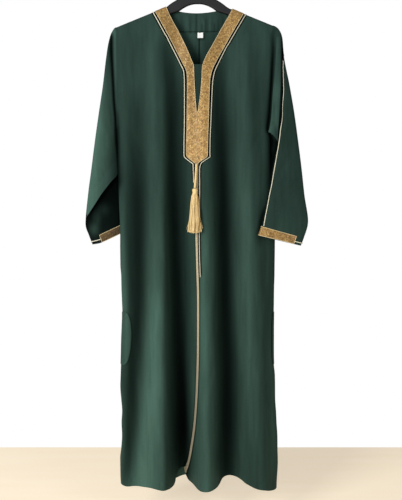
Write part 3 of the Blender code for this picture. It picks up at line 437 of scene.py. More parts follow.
# The cord from the galloon's point to the tassel: (x, drop)
TASSEL_CORD_ROUTE = (
    (-0.9, 559), (-1, 563), (-1.2, 567), (-1.4, 571.5), (-1.6, 576),
    (-1.8, 581), (-2.1, 586), (-2.4, 591), (-2.7, 596), (-3.1, 601),
    (-3.5, 606), (-3.9, 611), (-4.3, 616), (-4.7, 621), (-5, 626.4),
)

HANGER_HALF_LENGTH = 210
HANGER_THICKNESS = 12
HANGER_ROUNDING = 4
HANGER_CLEARANCE = 1.4
HOOK_RADIUS = 19
HOOK_WIRE = 4
HANGER_NECK = ((10, 62), (14, 72), (30, 85), (55.5, 99), (74, 110.5), (86, 119.5))
HANGER_SHOULDER = (97, 150, HANGER_HALF_LENGTH)
HANGER_NOSE = ((6, 8), (1, 17))
HANGER_UNDERSIDE = (
    (88, 142), (70.8, 136.2), (52.6, 129.8), (40.6, 122), (26.6, 115.1), (12.5, 111.3), (0, 110.6),
)
HANGER_UNDERSIDE_SHIFT = 3.5
HANGER_SHARP_ANGLE = 40
CLOTH_SHARP_ANGLE = 60
HOOK_SHANK = ((0, 80), (0, 62), (1.5, 55), (7, 46.5))
HOOK_TURN = (-48, 205)
HOOK_POINTS = 34

FLOOR_DROP = 1600
FLOOR_FAR_Y = 560
FLOOR_NEAR_Y = -1700
FLOOR_HALF_WIDTH = 1900
# How bright the white room is to all but the camera
ROOM_LIGHT = 0.26


# --- Small helpers ---


def smooth(t):
    t = np.clip(t, 0.0, 1.0)
    return t * t * (3 - 2 * t)


def bell(across):
    return np.exp(-(across**2))


def unit(vectors):
    return vectors / np.maximum(np.linalg.norm(vectors, axis=-1, keepdims=True), 1e-9)


def lengths_along(route):
    return np.concatenate([[0], np.cumsum(np.linalg.norm(np.diff(route, axis=0), axis=1))])


def curve(rows, at, column=1):
    """A table's column, read along a smooth curve that doesn't overshoot its rows."""
    rows = np.array(rows, float)
    places, values = rows[:, 0], rows[:, column]
    steps = np.diff(places)
    rises = np.diff(values) / steps
    slopes = np.zeros(len(places))
    before, after = rises[:-1], rises[1:]
    alike = before * after > 0
    total = np.where(alike, before + after, 1)
    slopes[1:-1] = np.where(alike, 2 * before * after / total, 0)
    slopes[0], slopes[-1] = rises[0], rises[-1]
    at = np.clip(at, places[0], places[-1])
    row = np.clip(np.searchsorted(places, at, side="right") - 1, 0, len(steps) - 1)
    t = (at - places[row]) / steps[row]
    bend = steps[row] * (slopes[row] * t * (1 - t) ** 2 - slopes[row + 1] * t * t * (1 - t))
    return values[row] * (1 - smooth(t)) + values[row + 1] * smooth(t) + bend


def sides_of(x, table, at):
    return np.where(x < 0, curve(table, at, 1), curve(table, at, 2))


def ripple(t, seed):
    """An uneven wave of about unit height and a wavelength of about 1."""
    return (
        np.sin(2 * np.pi * t + 1.7 * seed)
        + 0.6 * np.sin(2 * np.pi * 0.618 * t + 2.9 * seed + 1)
        + 0.5 * np.sin(2 * np.pi * 1.43 * t + 0.7 * seed + 2)
    ) / 1.6


# --- The body's surface ---


def shoulder_drop(x):
    return NECK_DROP + SHOULDER_SLOPE * np.maximum(np.abs(x) - NECK_POINT["right"], 0)


def shoulder_profile(station):
    """Half depth, and depth below the shoulder line, at a distance along the cloth from the seam."""
    station = np.asarray(station, float)
    bend = RIDGE_FLAT - SEAM_GAP / 2
    quarter = RIDGE_RADIUS * math.pi / 2
    turn = np.clip((station - bend) / RIDGE_RADIUS, 0, math.pi / 2)
    below = np.maximum(station - bend - quarter, 0)
    swell = BODY_SWELL * (1 - np.exp(-below / BODY_SWELL_LENGTH)) + BODY_FLARE * below
    flat = SEAM_GAP / 2 + np.minimum(station, bend)
    return flat + RIDGE_RADIUS * np.sin(turn) + swell, RIDGE_RADIUS * (1 - np.cos(turn)) + below


def station_at(depth):
    return RIDGE_FLAT - SEAM_GAP / 2 + RIDGE_RADIUS * (math.pi / 2 - 1) + depth


def drop_at(x, depth):
    """Rows follow the sloping shoulder at the top, and are level below the armpit."""
    slope_left = np.clip((LEVEL_DEPTH - depth) / LEVEL_FADE, 0.0, 1.0)
    return NECK_DROP + depth + (shoulder_drop(x) - NECK_DROP) * slope_left


def armhole_share(drop):
    """1 beside the armhole, falling to 0 at the armpit along a round curve."""
    below = np.maximum(drop - (ARMPIT_DROP - ARMHOLE_CLOSING), 0) / ARMHOLE_CLOSING
    return np.sqrt(np.maximum(1 - below * below, 0.0))


def armhole_half_depth(half_depth, drop):
    inner = np.minimum(half_depth, ARMHOLE_HALF_DEPTH) * armhole_share(drop)
    return np.maximum(inner, SEAM_GAP / 2)


def side_distance(x, drop):
    armhole = np.where(x < 0, ARMHOLE_X["right"], ARMHOLE_X["left"])
    return np.where(drop <= ARMPIT_DROP, armhole, sides_of(x, SIDE_EDGE, drop))


def fold_offset(folds, x, drop, depth):
    down = np.clip((drop - FOLD_TOP_DROP) / (HEM_DROP - FOLD_TOP_DROP), 0, 1)
    total = np.zeros(np.broadcast(x, drop).shape)
    for x_top, x_hem, depth_top, depth_hem, width_top, width_hem in folds:
        middle = x_top + (x_hem - x_top) * down
        width = width_top + (width_hem - width_top) * down
        height = depth_top + (depth_hem - depth_top) * down**FOLD_GROWTH
        across = np.minimum(np.abs(x - middle) / width, 1)
        total += height * 0.5 * (1 + np.cos(math.pi * across))
    return total * np.minimum(depth / FOLD_FADE_DEPTH, 1)


def crease_offset(creases, x, drop):
    total = np.zeros(np.broadcast(x, drop).shape)
    for x_start, drop_start, x_end, drop_end, bow, height, width in creases:
        run_x, run_drop = x_end - x_start, drop_end - drop_start
        length = math.hypot(run_x, run_drop)
        along = ((x - x_start) * run_x + (drop - drop_start) * run_drop) / length**2
        across = ((x - x_start) * run_drop - (drop - drop_start) * run_x) / length
        across -= bow * 4 * along * (1 - along)
        total += height * smooth(np.minimum(along, 1 - along) * 3) * bell(across / width)
    return total


def hem_rise(x, drop):
    return curve(HEM_LINE, x) * smooth((drop - HEM_DROP) / HEM_RISE_LENGTH + 1)


HEM_TURN = 19
HEM_PROUD = 0.5
HEM_GROOVE = 0.7
HEM_GROOVE_WIDTH = 1.6
HEM_PUCKER = 0.8
HEM_PUCKER_LENGTH = 17
HEM_PUCKER_REACH = 9


def hem_relief(x, drop):
    """The turned hem stands a little proud below its line of stitches, which puckers it."""
    above = HEM_DROP - HEM_TURN - drop
    pucker = HEM_PUCKER * ripple(x / HEM_PUCKER_LENGTH, 3) * bell(above / HEM_PUCKER_REACH)
    return HEM_PROUD * smooth(0.5 - above / 3) - HEM_GROOVE * bell(above / HEM_GROOVE_WIDTH) + pucker


def band_strength(bands, x, drop, sharpness=2.4):
    """Each band's strength at these points."""
    for rows in bands:
        middle, before, after, strength = (curve(rows, drop, column) for column in range(1, 5))
        across = np.abs(x - middle) / np.where(x < middle, before, after)
        yield strength * np.exp(-(across**sharpness))


# The painted shade of each band darkens the painted light by its strength
def dimmed(light, hollows, x, drop):
    for strength in band_strength(hollows, x, drop):
        light = light * (1 - strength)
    return light


def spots(table, x, drop):
    """Soft spots of light. Columns: x, drop, half width, half height, strength."""
    return sum(s * bell((x - middle) / w) * bell((drop - low) / h) for middle, low, w, h, s in table)


def front_light(x, drop):
    """The light and shade painted into the front's cloth: its level, painted highlights, and painted shade
    in its hollows and beside the left sleeve.
    """
    light = curve(LIGHT_LEVEL, drop) + sum(band_strength(FRONT_GLEAMS, x, drop, 2.0))
    return dimmed(light, (*FRONT_HOLLOW_SHADE, SLEEVE_SHADOW), x, drop)


def back_light(x, drop):
    """The light on the back's outside and inside. Its folds and its seam darken it."""
    offset = fold_offset(BACK_FOLDS, x, drop, drop - NECK_DROP)
    light = np.clip(curve(LIGHT_LEVEL, drop) + offset / FULL_LIGHT_FOLD, *BACK_LIGHT_LIMITS)
    light = light * (1 - BACK_SEAM_SHADOW * bell((x - BACK_SEAM_X) / BACK_SEAM_SHADE))
    label_x, label_drop, half_width, half_height, shadow = LABEL_SHADOW
    beside_label = ((x - label_x) / half_width) ** 4 + ((drop - label_drop) / half_height) ** 4
    return light, light * (1 - shadow * np.exp(-beside_label))


def trim_shade(side, x, drop):
    """The cloth is in shadow between the galloon and its cord, and beside the cord."""
    _, depth = shoulder_profile(row_stations(HEM_DROP, PANEL_ROW_STEP))
    away = (x - band_edge(side, depth)[:, None]) * SIGN[side]
    margin = curve(CORD_MARGIN, drop, COLUMN[side])
    gap = smooth(away / TRIM_SHADE_START + 1) * smooth((margin + TRIM_SHADE_REACH - away) / TRIM_SHADE_FADE)
    beside_cord = smooth((NECK_CORD_END[side] - drop) / 12)
    beside_braid = bell(away / BRAID_SHADE_REACH) * smooth((drop - BAND_POINT_DROP) / 20)
    return (1 - TRIM_SHADOW * gap * beside_cord) * (1 - BRAID_SHADOW * beside_braid)


def cloth_drift(x, drop, seed):
    """Slow unevenness of a light cloth."""
    slant = x + 22 * np.sin(drop / 170 + seed)
    wide = ripple(slant / 74 + drop / 900, seed) * 0.9
    narrow = ripple(slant / 31 - drop / 1300, seed + 4) * (0.25 + 0.2 * np.sin(drop / 120 + seed))
    return wide + narrow


def body_surface(face, x, station, seam=False):
    """Points on the middle of the cloth. At a side seam the cloth turns in along Y."""
    half_depth, depth = shoulder_profile(station)
    drop = drop_at(x, depth)
    share = armhole_share(drop)
    edge = armhole_half_depth(half_depth, drop)
    closed = np.where(drop <= ARMPIT_DROP, 0.0, 1.0)
    near = np.maximum(side_distance(x, drop) - np.abs(x), 0.0) / SIDE_ROUNDING
    base = np.minimum(edge + SEAM_STRIP * closed, half_depth)
    roll = np.sqrt(1 - (1 - np.minimum(near, 1)) ** 2)
    outward = base + (half_depth - base) * (share * smooth(near) + (1 - share) * roll)
    front = face == "front"
    fine = crease_offset(FRONT_CREASES if front else BACK_CREASES, x, drop)
    fine += cloth_drift(x, drop, 1 if front else 2) * smooth((drop - DRIFT_TOP_DROP) / DRIFT_FADE)
    fine += hem_relief(x, drop)
    offset = fold_offset(FRONT_FOLDS if front else BACK_FOLDS, x, drop, depth)
    outward = outward + (offset + fine * np.minimum(depth / CREASE_FADE_DEPTH, 1)) * smooth(near)
    if not front:
        outward = outward - BACK_SEAM_GROOVE * bell((x - BACK_SEAM_X) / BACK_SEAM_WIDTH)
    outward = np.where(seam, edge, outward)
    lifted = hem_rise(x, drop) if front else 0.0
    y = -outward if front else outward
    return np.stack(np.broadcast_arrays(x, y, lifted - drop), axis=-1).astype(float)


def surface_normals(face, x, station):
    """Outward unit normals of the body's surface, by small differences."""
    step = 0.5
    across = body_surface(face, x + step, station) - body_surface(face, x - step, station)
    down = body_surface(face, x, station + step) - body_surface(face, x, np.maximum(station - step, 0))
    normals = unit(np.cross(across, down))
    return -normals if face == "front" else normals


def on_body(face, x, station):
    """Points and normals of the body's surface."""
    return body_surface(face, x, station), surface_normals(face, x, station)


def back_neck_cut(x):
    """How much lower than the shoulder line the back's neck edge lies: it sags in the middle."""
    limit = np.where(x < 0, NECK_POINT["right"], NECK_POINT["left"])
    turn = np.sin(np.clip((limit - np.abs(x)) / BACK_NECK_TURN, 0, 1) * math.pi / 2)
    sag = np.maximum(BACK_NECK_LEAST_SAG, 1 - ((x - 1) / BACK_NECK_HALF_WIDTH) ** 2)
    return (BACK_NECK_CUT + BACK_NECK_SAG * sag) * turn


def below_back_neck(x, stations):
    """The back's rows, drawn down at the neck and level again further down."""
    along = stations[:, None]
    return along + back_neck_cut(x) * np.maximum(1 - along / BACK_LEVEL_STATION, 0.0)


PANEL_STEP = 3.9
PANEL_ROW_STEP = 5.8
# Distances along the cloth, over the shoulder's ridge, that get a row of their own
RIDGE_STATIONS = (0, 1.4, 2.85, 4.3, 5.8, 7.2, 8.6, 10.0, 11.49)
# Distances from the galloon's edge, or the centre-back seam, that get a column of their own
NECK_COLUMNS = np.array((0.0, 0.9, 2.2, 3.6, 5.0, 6.4, 7.8, 9.0, 10.2, 11.4, 12.6, 14.5))
SEAM_COLUMNS = np.array((0.0, 0.6, 1.3, 2.4, 4.5))
# Columns under the galloon: their shares of its width
HIDDEN_COLUMNS = np.array((0, 0.33, 0.66))
SIDE_ROLL_COLUMNS = 15
BAND_EDGE_PASSES = 14


def row_stations(last_drop, step, hem_step=2.0, hem_length=30):
    """Stations of a panel's rows: close together round the shoulder and near the hem."""
    start, end = RIDGE_STATIONS[-1], station_at(last_drop - NECK_DROP)
    middle = np.linspace(start, end - hem_length, int((end - hem_length - start) / step) + 1)
    hem = np.arange(end - hem_length + hem_step, end, hem_step)
    return np.concatenate([RIDGE_STATIONS, middle[1:], hem, [end]])


def side_columns(first, last):
    """Columns between two distances, closer together where the cloth rolls to its side."""
    start = last - SIDE_ROUNDING
    share = np.linspace(0, 1, int(np.max(np.abs(start - first)) / PANEL_STEP) + 1)
    turn = np.linspace(0, math.pi / 2, SIDE_ROLL_COLUMNS)[1:]
    flat = first[:, None] * (1 - share) + start[:, None] * share
    return np.concatenate([flat, start[:, None] + SIDE_ROUNDING * np.sin(turn)], axis=1)


def inner_edge(side, drop):
    """x of a front panel's inner edge, by the drop of its row at the centre."""
    sign = SIGN[side]
    centre = curve(CENTRE_LINE, drop)
    closing = smooth((drop - SLIT_TOP_DROP) / (SLIT_END_DROP - SLIT_TOP_DROP))
    open_edge = sign * curve(NECK_EDGE, drop, COLUMN[side]) + centre * closing
    return np.where(drop < SLIT_END_DROP, open_edge, centre) + sign * SEAM_GAP / 2


def band_edge(side, depth):
    """x of the galloon's outer edge in each row. Its table is by the edge's own drop."""
    drop = NECK_DROP + depth
    centre = curve(CENTRE_LINE, drop) * smooth((drop - BAND_JOIN_DROP) / (BAND_POINT_DROP - BAND_JOIN_DROP))
    band = inner_edge(side, drop)
    for _ in range(BAND_EDGE_PASSES):
        band = SIGN[side] * curve(BAND_EDGE, drop_at(band, depth), COLUMN[side]) + centre
    return band


def panel_grid(face, side):
    """A body panel's cloth as a grid of points, and its outward normals."""
    sign = SIGN[side]
    stations = row_stations(HEM_DROP, PANEL_ROW_STEP)
    _, depth = shoulder_profile(stations)
    side_drop = drop_at(sign * ARMHOLE_X[side], depth)
    last = side_distance(float(sign), side_drop)
    if face == "front":
        start = sign * inner_edge(side, NECK_DROP + depth)[:, None]
        edge = sign * band_edge(side, depth)[:, None]
        gathered = np.concatenate([start + (edge - start) * HIDDEN_COLUMNS, edge + NECK_COLUMNS], axis=1)
    else:
        start = np.full((len(stations), 1), sign * BACK_SEAM_X + BACK_SEAM_GAP / 2)
        gathered = start + SEAM_COLUMNS
    x = sign * np.concatenate([gathered[:, :-1], side_columns(gathered[:, -1], last)], axis=1)
    along = stations[:, None] if face == "front" else below_back_neck(x, stations)
    points, normals = on_body(face, x, along)
    seam = body_surface(face, x[:, -1:], along[:, -1:], seam=True)
    points = np.concatenate([points, seam], axis=1)
    normals = np.concatenate([normals, normals[:, -1:]], axis=1)
    beside_armhole = side_drop <= ARMPIT_DROP
    normals[beside_armhole, -3:, 0] = 0
    normals[~beside_armhole, -1] = (sign, 0, 0)
    normals[~beside_armhole, -2] = (sign, -1 if face == "front" else 1, 0)
    return points, unit(normals)


# --- The sleeves' surface ---


def sleeve_surface(side, ring, angle):
    """Points of a sleeve at ring numbers (rows) and angles (columns) round its section."""
    table = [(number, *row) for number, row in enumerate(SLEEVE_RINGS[side])]
    columns = [curve(table, ring, column)[:, None] for column in range(1, 9)]
    half, share = columns[6:]
    along = (1 - np.cos(angle))[None] / 2
    x, drop, y = (columns[i] + (columns[i + 3] - columns[i]) * along for i in range(3))
    if side == "right":
        drop = drop + curve(CUFF_BULGE, along) * np.clip(ring - CUFF_RING, 0, 1)[:, None]
    top = shoulder_drop(ARMHOLE_X[side])
    turn = np.arccos(1 - np.clip((drop - top) / RIDGE_RADIUS, 0, 1))
    depth = np.maximum(drop - top - RIDGE_RADIUS, 0)
    half_depth, _ = shoulder_profile(station_at(depth + RIDGE_RADIUS))
    half_depth = np.where(depth > 0, half_depth, RIDGE_FLAT + RIDGE_RADIUS * np.sin(turn))
    armhole = np.minimum(half_depth, ARMHOLE_HALF_DEPTH) * armhole_share(drop)
    section = half * np.maximum(1 - np.abs(2 * along - 1) ** SECTION_POWER, 0) ** (1 / SECTION_POWER)
    reach = np.where(np.abs(np.sin(angle)) < 1e-6, 0, share * armhole + (1 - share) * section)
    if side == "left":
        across = smooth((x - FLAP_INNER_X) / FLAP_EDGE) * smooth((FLAP_OUTER_X - x) / FLAP_EDGE)
        relief = FLAP_HEIGHT * across * smooth((FLAP_END_DROP - drop) / FLAP_END_FADE)
    else:
        relief = ARM_FOLD_HEIGHT * smooth((curve(ARM_FOLD_EDGE, -x) - drop) / ARM_FOLD_FADE)
    full = np.minimum(reach / half, 1)
    start = smooth((ring[:, None] - 1.5) / 2)
    drift = SLEEVE_DRIFT * cloth_drift(drop, x, 5)
    fine = {}
    for face in ("front", "back"):
        fine[face] = (crease_offset(SLEEVE_CREASES[side, face], x, drop) + drift) * full**2 * start
    forward = y - reach - relief * start * full - fine["front"]
    y = np.where(angle < math.pi, forward, y + reach + fine["back"])
    return np.stack(np.broadcast_arrays(x, y, -drop), axis=-1)


def sleeve_light(side, points, upper_arm=False):
    """The light and shade painted into a sleeve's cloth, on the side that faces forward."""
    x, drop = points[..., 0], -points[..., 2]
    if side == "left":
        return dimmed(np.full(x.shape, LEFT_SLEEVE_LIGHT), LEFT_SLEEVE_HOLLOW_SHADE, x, drop)
    outer = curve([(row[1], row[0]) for row in SLEEVE_RINGS["right"]], drop)
    across = np.clip((x - outer) / SLEEVE_GLEAM_REACH, 0, 1)
    light = (SLEEVE_GLEAM * (1 - across) + SLEEVE_SHADE_LEVEL * across) * curve(SLEEVE_GLEAM_LEVEL, drop)
    light = light + spots((SHOULDER_GLEAM,), x, drop)
    light = light + sum(band_strength((RIGHT_SLEEVE_RIDGE,), x, drop, 2.0))
    crossing = curve(ARM_FOLD_EDGE, -x)
    cuffwards = smooth((drop - crossing) / FOREARM_FADE)
    shaded = FOREARM_DARK * (1 - cuffwards) + FOREARM_LIGHT * cuffwards + spots(FOREARM_GLEAMS, x, drop)
    behind = 0.0 if upper_arm else smooth((drop - crossing + 12) / 7)
    return dimmed(light * (1 - behind) + shaded * behind, RIGHT_SLEEVE_HOLLOW_SHADE, x, drop)


def ring_numbers():
    numbers = [np.linspace(i, i + 1, steps, endpoint=False) for i, steps in enumerate(RING_STEPS)]
    return np.concatenate([*numbers, [len(RING_STEPS)]])


def grid_normals(points, outward, closed=False):
    if closed:
        across = np.roll(points, -1, axis=1) - np.roll(points, 1, axis=1)
    else:
        across = np.gradient(points, axis=1)
    normals = unit(np.cross(across, np.gradient(points, axis=0)))
    middle = normals[len(normals) // 2, normals.shape[1] // 3]
    return normals if np.dot(middle, outward) > 0 else -normals


# --- From points to meshes ---


def set_up(thing, **settings):
    for key, value in settings.items():
        setattr(thing, key, value)
    return thing


def placed(name, data):
    made = bpy.data.objects.new(name, data)
    bpy.context.scene.collection.objects.link(made)
    return made


def piece(name, mesh, finish, sharp_angle, node=None):
    """A mesh as a piece on the body root, in place of a solid where a node is named."""
    mesh.materials.clear()
    mesh.materials.append(finish)
    mesh.shade_smooth()
    mesh.set_sharp_from_angle(angle=math.radians(sharp_angle))
    made = placed(name, mesh)
    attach(made, "root")
    if node:
        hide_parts(node)
    return made


def mesh_piece(name, vertices, faces, finish, node=None):
    mesh = bpy.data.meshes.new(name)
    mesh.from_pydata((np.asarray(vertices) * MM).tolist(), [], faces)
    return piece(name, mesh, finish, CLOTH_SHARP_ANGLE, node)


def grid_faces(rows, columns, start=0, closed=False, flip=False):
    across = columns if closed else columns - 1
    row, column = np.indices((rows - 1, across)).reshape(2, -1)
    here, beside = row * columns + column, row * columns + (column + 1) % columns
    corners = [here, beside, beside + columns, here + columns]
    if flip:
        corners.reverse()
    return (np.stack(corners, axis=1) + start).tolist()


def shell(name, points, normals, finish, thickness=CLOTH, lift=0.0, closed=False, node=None, **values):
    """A closed thin wall on a grid of points.

    Values are arrays on the grid, or a pair of them for outside and inside, kept as attributes.
    """
    rows, columns = points.shape[:2]
    count = rows * columns
    i, j = rows // 2, columns // 3
    turn = np.cross(points[i, j + 1] - points[i, j], points[i + 1, j] - points[i, j])
    flip = np.dot(turn, normals[i, j]) < 0
    faces = grid_faces(rows, columns, 0, closed, flip) + grid_faces(rows, columns, count, closed, not flip)
    spots = np.arange(count).reshape(rows, columns)
    if closed:
        rims = [np.append(spots[0], 0), np.append(spots[-1], spots[-1, 0])[::-1]]
    else:
        rims = [np.concatenate([spots[0], spots[1:, -1], spots[-1, -2::-1], spots[-2::-1, 0]])]
    for rim in rims:
        for a, b in zip(rim[:-1].tolist(), rim[1:].tolist()):
            face = (a, b, b + count, a + count)
            faces.append(face if flip else face[::-1])
    walls = [points + normals * (lift + side * thickness / 2) for side in (1, -1)]
    made = mesh_piece(name, np.reshape(walls, (-1, 3)), faces, finish, node)
    for title, value in values.items():
        attribute = made.data.attributes.new(title, "FLOAT", "POINT")
        both = value if isinstance(value, tuple) else (value, value)
        attribute.data.foreach_set("value", np.ravel(both).astype(np.float32))
    return made


def bundle(paths, radius, sides=6, facing=(0, -1, 0)):
    """Tubes along paths, an array of tubes by points. Returns vertices and faces."""
    paths = np.asarray(paths, float)
    tubes, steps = paths.shape[:2]
    tangent = unit(np.gradient(paths, axis=1))
    side = unit(np.cross(tangent, np.broadcast_to(np.asarray(facing, float), paths.shape)))
    up = np.cross(side, tangent)
    radius = np.broadcast_to(np.asarray(radius, float), (tubes, steps))[..., None, None]
    angles = (2 * math.pi * np.arange(sides) / sides)[:, None]
    ring = np.cos(angles) * side[:, :, None] + np.sin(angles) * up[:, :, None]
    vertices = (paths[:, :, None] + radius * ring).reshape(-1, 3)
    first = np.array(grid_faces(steps, sides, closed=True, flip=True))
    starts = np.arange(tubes) * steps * sides
    faces = (first[None] + starts[:, None, None]).reshape(-1, 4).tolist()
    for start in starts.tolist():
        end = start + steps * sides
        faces += [list(range(start, start + sides)), list(range(end - 1, end - sides - 1, -1))]
    return vertices, faces


def bundle_piece(name, bundles, finish, node=None):
    """One mesh from several bundles."""
    vertices, faces, start = [], [], 0
    for more_vertices, more_faces in bundles:
        vertices.append(more_vertices)
        faces += [[corner + start for corner in face] for face in more_faces]
        start += len(more_vertices)
    return mesh_piece(name, np.concatenate(vertices), faces, finish, node)


def resampled(route, step, normals):
    """Points an even step apart along a route, with its normals and the lengths so far."""
    lengths = lengths_along(route)
    places = np.linspace(0, lengths[-1], max(int(lengths[-1] / step), 2) + 1)
    points, turned = (
        np.stack([np.interp(places, lengths, values[:, i]) for i in range(3)], axis=1)
        for values in (route, normals)
    )
    return points, unit(turned), places


def twisted(route, radius, normals, plies=2, pitch=5.2, steps=8, sides=5):
    """A laid cord: its plies wind round each other along the route."""
    points, up, places = resampled(route, pitch / steps, normals)
    radius = np.interp(places, lengths_along(route), np.broadcast_to(radius, len(route)))
    tangent = unit(np.gradient(points, axis=0))
    side = unit(np.cross(tangent, up))
    up = np.cross(side, tangent)
    paths = []
    for ply in range(plies):
        turn = 2 * math.pi * (places / pitch + ply / plies)[:, None]
        paths.append(points + (np.cos(turn) * side + np.sin(turn) * up) * radius[:, None] * PLY_OFFSET)
    return bundle(paths, radius[None] * PLY_RADIUS, sides, up)


# --- Materials ---


# The crepe's colour in full painted shade, and in full painted light
GREEN_SHADED = (0.0004, 0.0015, 0.0012)
GREEN_LIT = (0.057, 0.118, 0.096)
# Where painted shade that darkens a yarn near the hem is full, and where it ends, in metres up
HEM_SHADE_HEIGHTS = (-1.25, -0.85)


class Finish:
    """A material's node tree. Inputs may be numbers, colours or other nodes' outputs."""

    def __init__(self, name):
        self.material = bpy.data.materials.new(name)
        self.material.use_nodes = True
        self.tree = self.material.node_tree
        self.shader = self.tree.nodes["Principled BSDF"]
        self.object = self.node("TexCoord", "Object")

    def put(self, socket, value):
        if isinstance(value, bpy.types.NodeSocket):
            self.tree.links.new(value, socket)
        elif socket.type == "RGBA":
            socket.default_value = (*value[:3], 1)
        else:
            socket.default_value = value

    def node(self, kind, output, inputs=(), **settings):
        """An output of a new node, whose inputs are given by name or number."""
        node = set_up(self.tree.nodes.new("ShaderNode" + kind), **settings)
        for key, value in dict(inputs).items():
            self.put(node.inputs[key], value)
        return node.outputs[output]

    def set(self, **inputs):
        for key, value in inputs.items():
            self.put(self.shader.inputs[key.replace("_", " ")], value)

    def value(self, attribute):
        return self.node("Attribute", "Fac", attribute_name=attribute)

    def math(self, operation, *values):
        return self.node("Math", 0, enumerate(values), operation=operation)

    def stretched(self, *by):
        return self.node("VectorMath", 0, enumerate((self.object, by)), operation="MULTIPLY")

    def up(self, vector):
        return self.node("SeparateXYZ", "Z", {0: vector})

    def noise(self, scale, detail=2.0, vector=None, distortion=0.0):
        vector = vector or self.object
        inputs = {"Vector": vector, "Scale": scale, "Detail": detail, "Distortion": distortion}
        return self.node("TexNoise", "Fac", inputs)

    def wave(self, scale, direction, distortion):
        inputs = {"Vector": self.object, "Scale": scale, "Distortion": distortion}
        return self.node("TexWave", "Fac", inputs, bands_direction=direction)

    def range(self, value, low, high, from_low=0.0, from_high=1.0):
        return self.node("MapRange", "Result", enumerate((value, from_low, from_high, low, high)))

    def mix(self, factor, first, second, blend="MIX"):
        inputs = {0: factor, 6: first, 7: second}
        return self.node("Mix", 2, inputs, data_type="RGBA", blend_type=blend)

    def dimmed(self, colour, share):
        grey = self.node("CombineColor", "Color", enumerate((share,) * 3))
        return self.mix(1.0, colour, grey, "MULTIPLY")

    def bump(self, height, strength, distance):
        return self.node("Bump", "Normal", {"Strength": strength, "Distance": distance, "Height": height})


def crepe_finish(name, light=None):
    """A satin-backed crepe: dark green with a pebbly weave. Light and shade are painted into its colour
    from the light attribute or a given share, and it is rougher where it is painted darker.
    """
    finish = Finish(name)
    broad = finish.noise(9.0, 3.0, finish.stretched(1.0, 1.0, 0.3))
    streaks = finish.noise(70.0, 3.0, finish.stretched(1.0, 1.0, 0.1))
    pebble = finish.noise(900.0, 3.0, None, 0.6)
    threads = finish.wave(260.0, "Z", 3.0)
    share = light or finish.value("light")
    for unevenness, low, start in ((broad, 0.84, 0.3), (streaks, 0.86, 0.3), (pebble, 0.86, 0.35)):
        share = finish.math("MULTIPLY", share, finish.range(unevenness, low, 2 - low, start, 1 - start))
    weave = finish.math("ADD", finish.math("MULTIPLY", threads, 0.35), pebble)
    finish.set(
        Base_Color=finish.mix(share, GREEN_SHADED, GREEN_LIT),
        Roughness=finish.range(share, 0.78, 0.46),
        Specular_IOR_Level=0.02,
        Sheen_Weight=0.002,
        Sheen_Roughness=0.45,
        Sheen_Tint=(0.45, 0.75, 0.66),
        Normal=finish.bump(weave, 0.35, 0.00025),
    )
    return finish.material


def galloon_finish():
    """Jacquard galloon: raised leaves and scrolls in gold on a browner twill."""
    finish = Finish("galloon_jacquard")
    motif = finish.value("motif")
    rib = finish.wave(190.0, "DIAGONAL", 1.0)
    flecks = finish.noise(420.0, 2.0, None, 1.0)
    ground = finish.mix(flecks, (0.27, 0.155, 0.045), (0.50, 0.31, 0.10))
    raised = finish.mix(finish.noise(35.0, 2.0), (0.50, 0.33, 0.11), (0.66, 0.45, 0.175))
    colour = finish.mix(motif, ground, raised)
    curls = finish.math("SUBTRACT", finish.noise(115.0, 1.0, None, 2.6), 0.5)
    lines = finish.range(finish.math("ABSOLUTE", curls), 1.0, 0.0, 0.0, 0.035)
    patches = finish.range(finish.noise(60.0, 1.0), 0.0, 0.9, 0.46, 0.62)
    worn = finish.math("MAXIMUM", finish.math("MULTIPLY", lines, patches), finish.value("outline"))
    colour = finish.mix(finish.math("MULTIPLY", worn, 0.85), colour, (0.13, 0.065, 0.022))
    pink = finish.range(finish.noise(150.0, 1.0), 0.0, 0.5, 0.56, 0.72)
    colour = finish.mix(pink, colour, (0.50, 0.24, 0.13))
    specks = finish.range(finish.noise(330.0, 1.0, None, 0.8), 0.0, 0.7, 0.60, 0.68)
    colour = finish.mix(specks, colour, (0.16, 0.075, 0.028))
    mottle = finish.range(finish.noise(210.0, 2.0, None, 0.6), 0.66, 1.34, 0.34, 0.66)
    # Painted light and shade from the light attribute, times the twill's ribs
    shade = finish.math("MULTIPLY", finish.range(rib, 0.86, 1.04), finish.value("light"))
    height = finish.math("ADD", finish.math("MULTIPLY", rib, 0.5), flecks)
    finish.set(
        Base_Color=finish.dimmed(colour, finish.math("MULTIPLY", shade, mottle)),
        Roughness=finish.range(motif, 0.55, 0.40),
        Metallic=0.12,
        Specular_IOR_Level=0.25,
        Sheen_Weight=0.02,
        Normal=finish.bump(height, 0.5, 0.0004),
    )
    return finish.material


def thread_finish(name, dark, light, roughness, metallic=0.0, scale=1400.0, sheen=0.15, dimmed=None):
    """Twisted yarn: fine fibres of a lighter and a darker tone, mixed at random."""
    finish = Finish(name)
    fibres = finish.noise(scale, 3.0)
    colour = finish.mix(finish.range(fibres, 0.0, 1.0, 0.3, 0.7), dark, light)
    colour = finish.mix(finish.range(finish.noise(40.0, 2.0), 0.0, 0.25, 0.4, 0.7), colour, dark)
    # Painted shade: the yarn turns darker towards the hem, down to the given share
    if dimmed:
        share = finish.range(finish.up(finish.object), dimmed, 1.0, *HEM_SHADE_HEIGHTS)
        colour = finish.dimmed(colour, share)
    finish.set(
        Base_Color=colour,
        Roughness=finish.range(fibres, roughness, roughness + 0.12),
        Metallic=metallic,
        Sheen_Weight=sheen,
        Normal=finish.bump(fibres, 0.4, 0.0003),
    )
    return finish.material


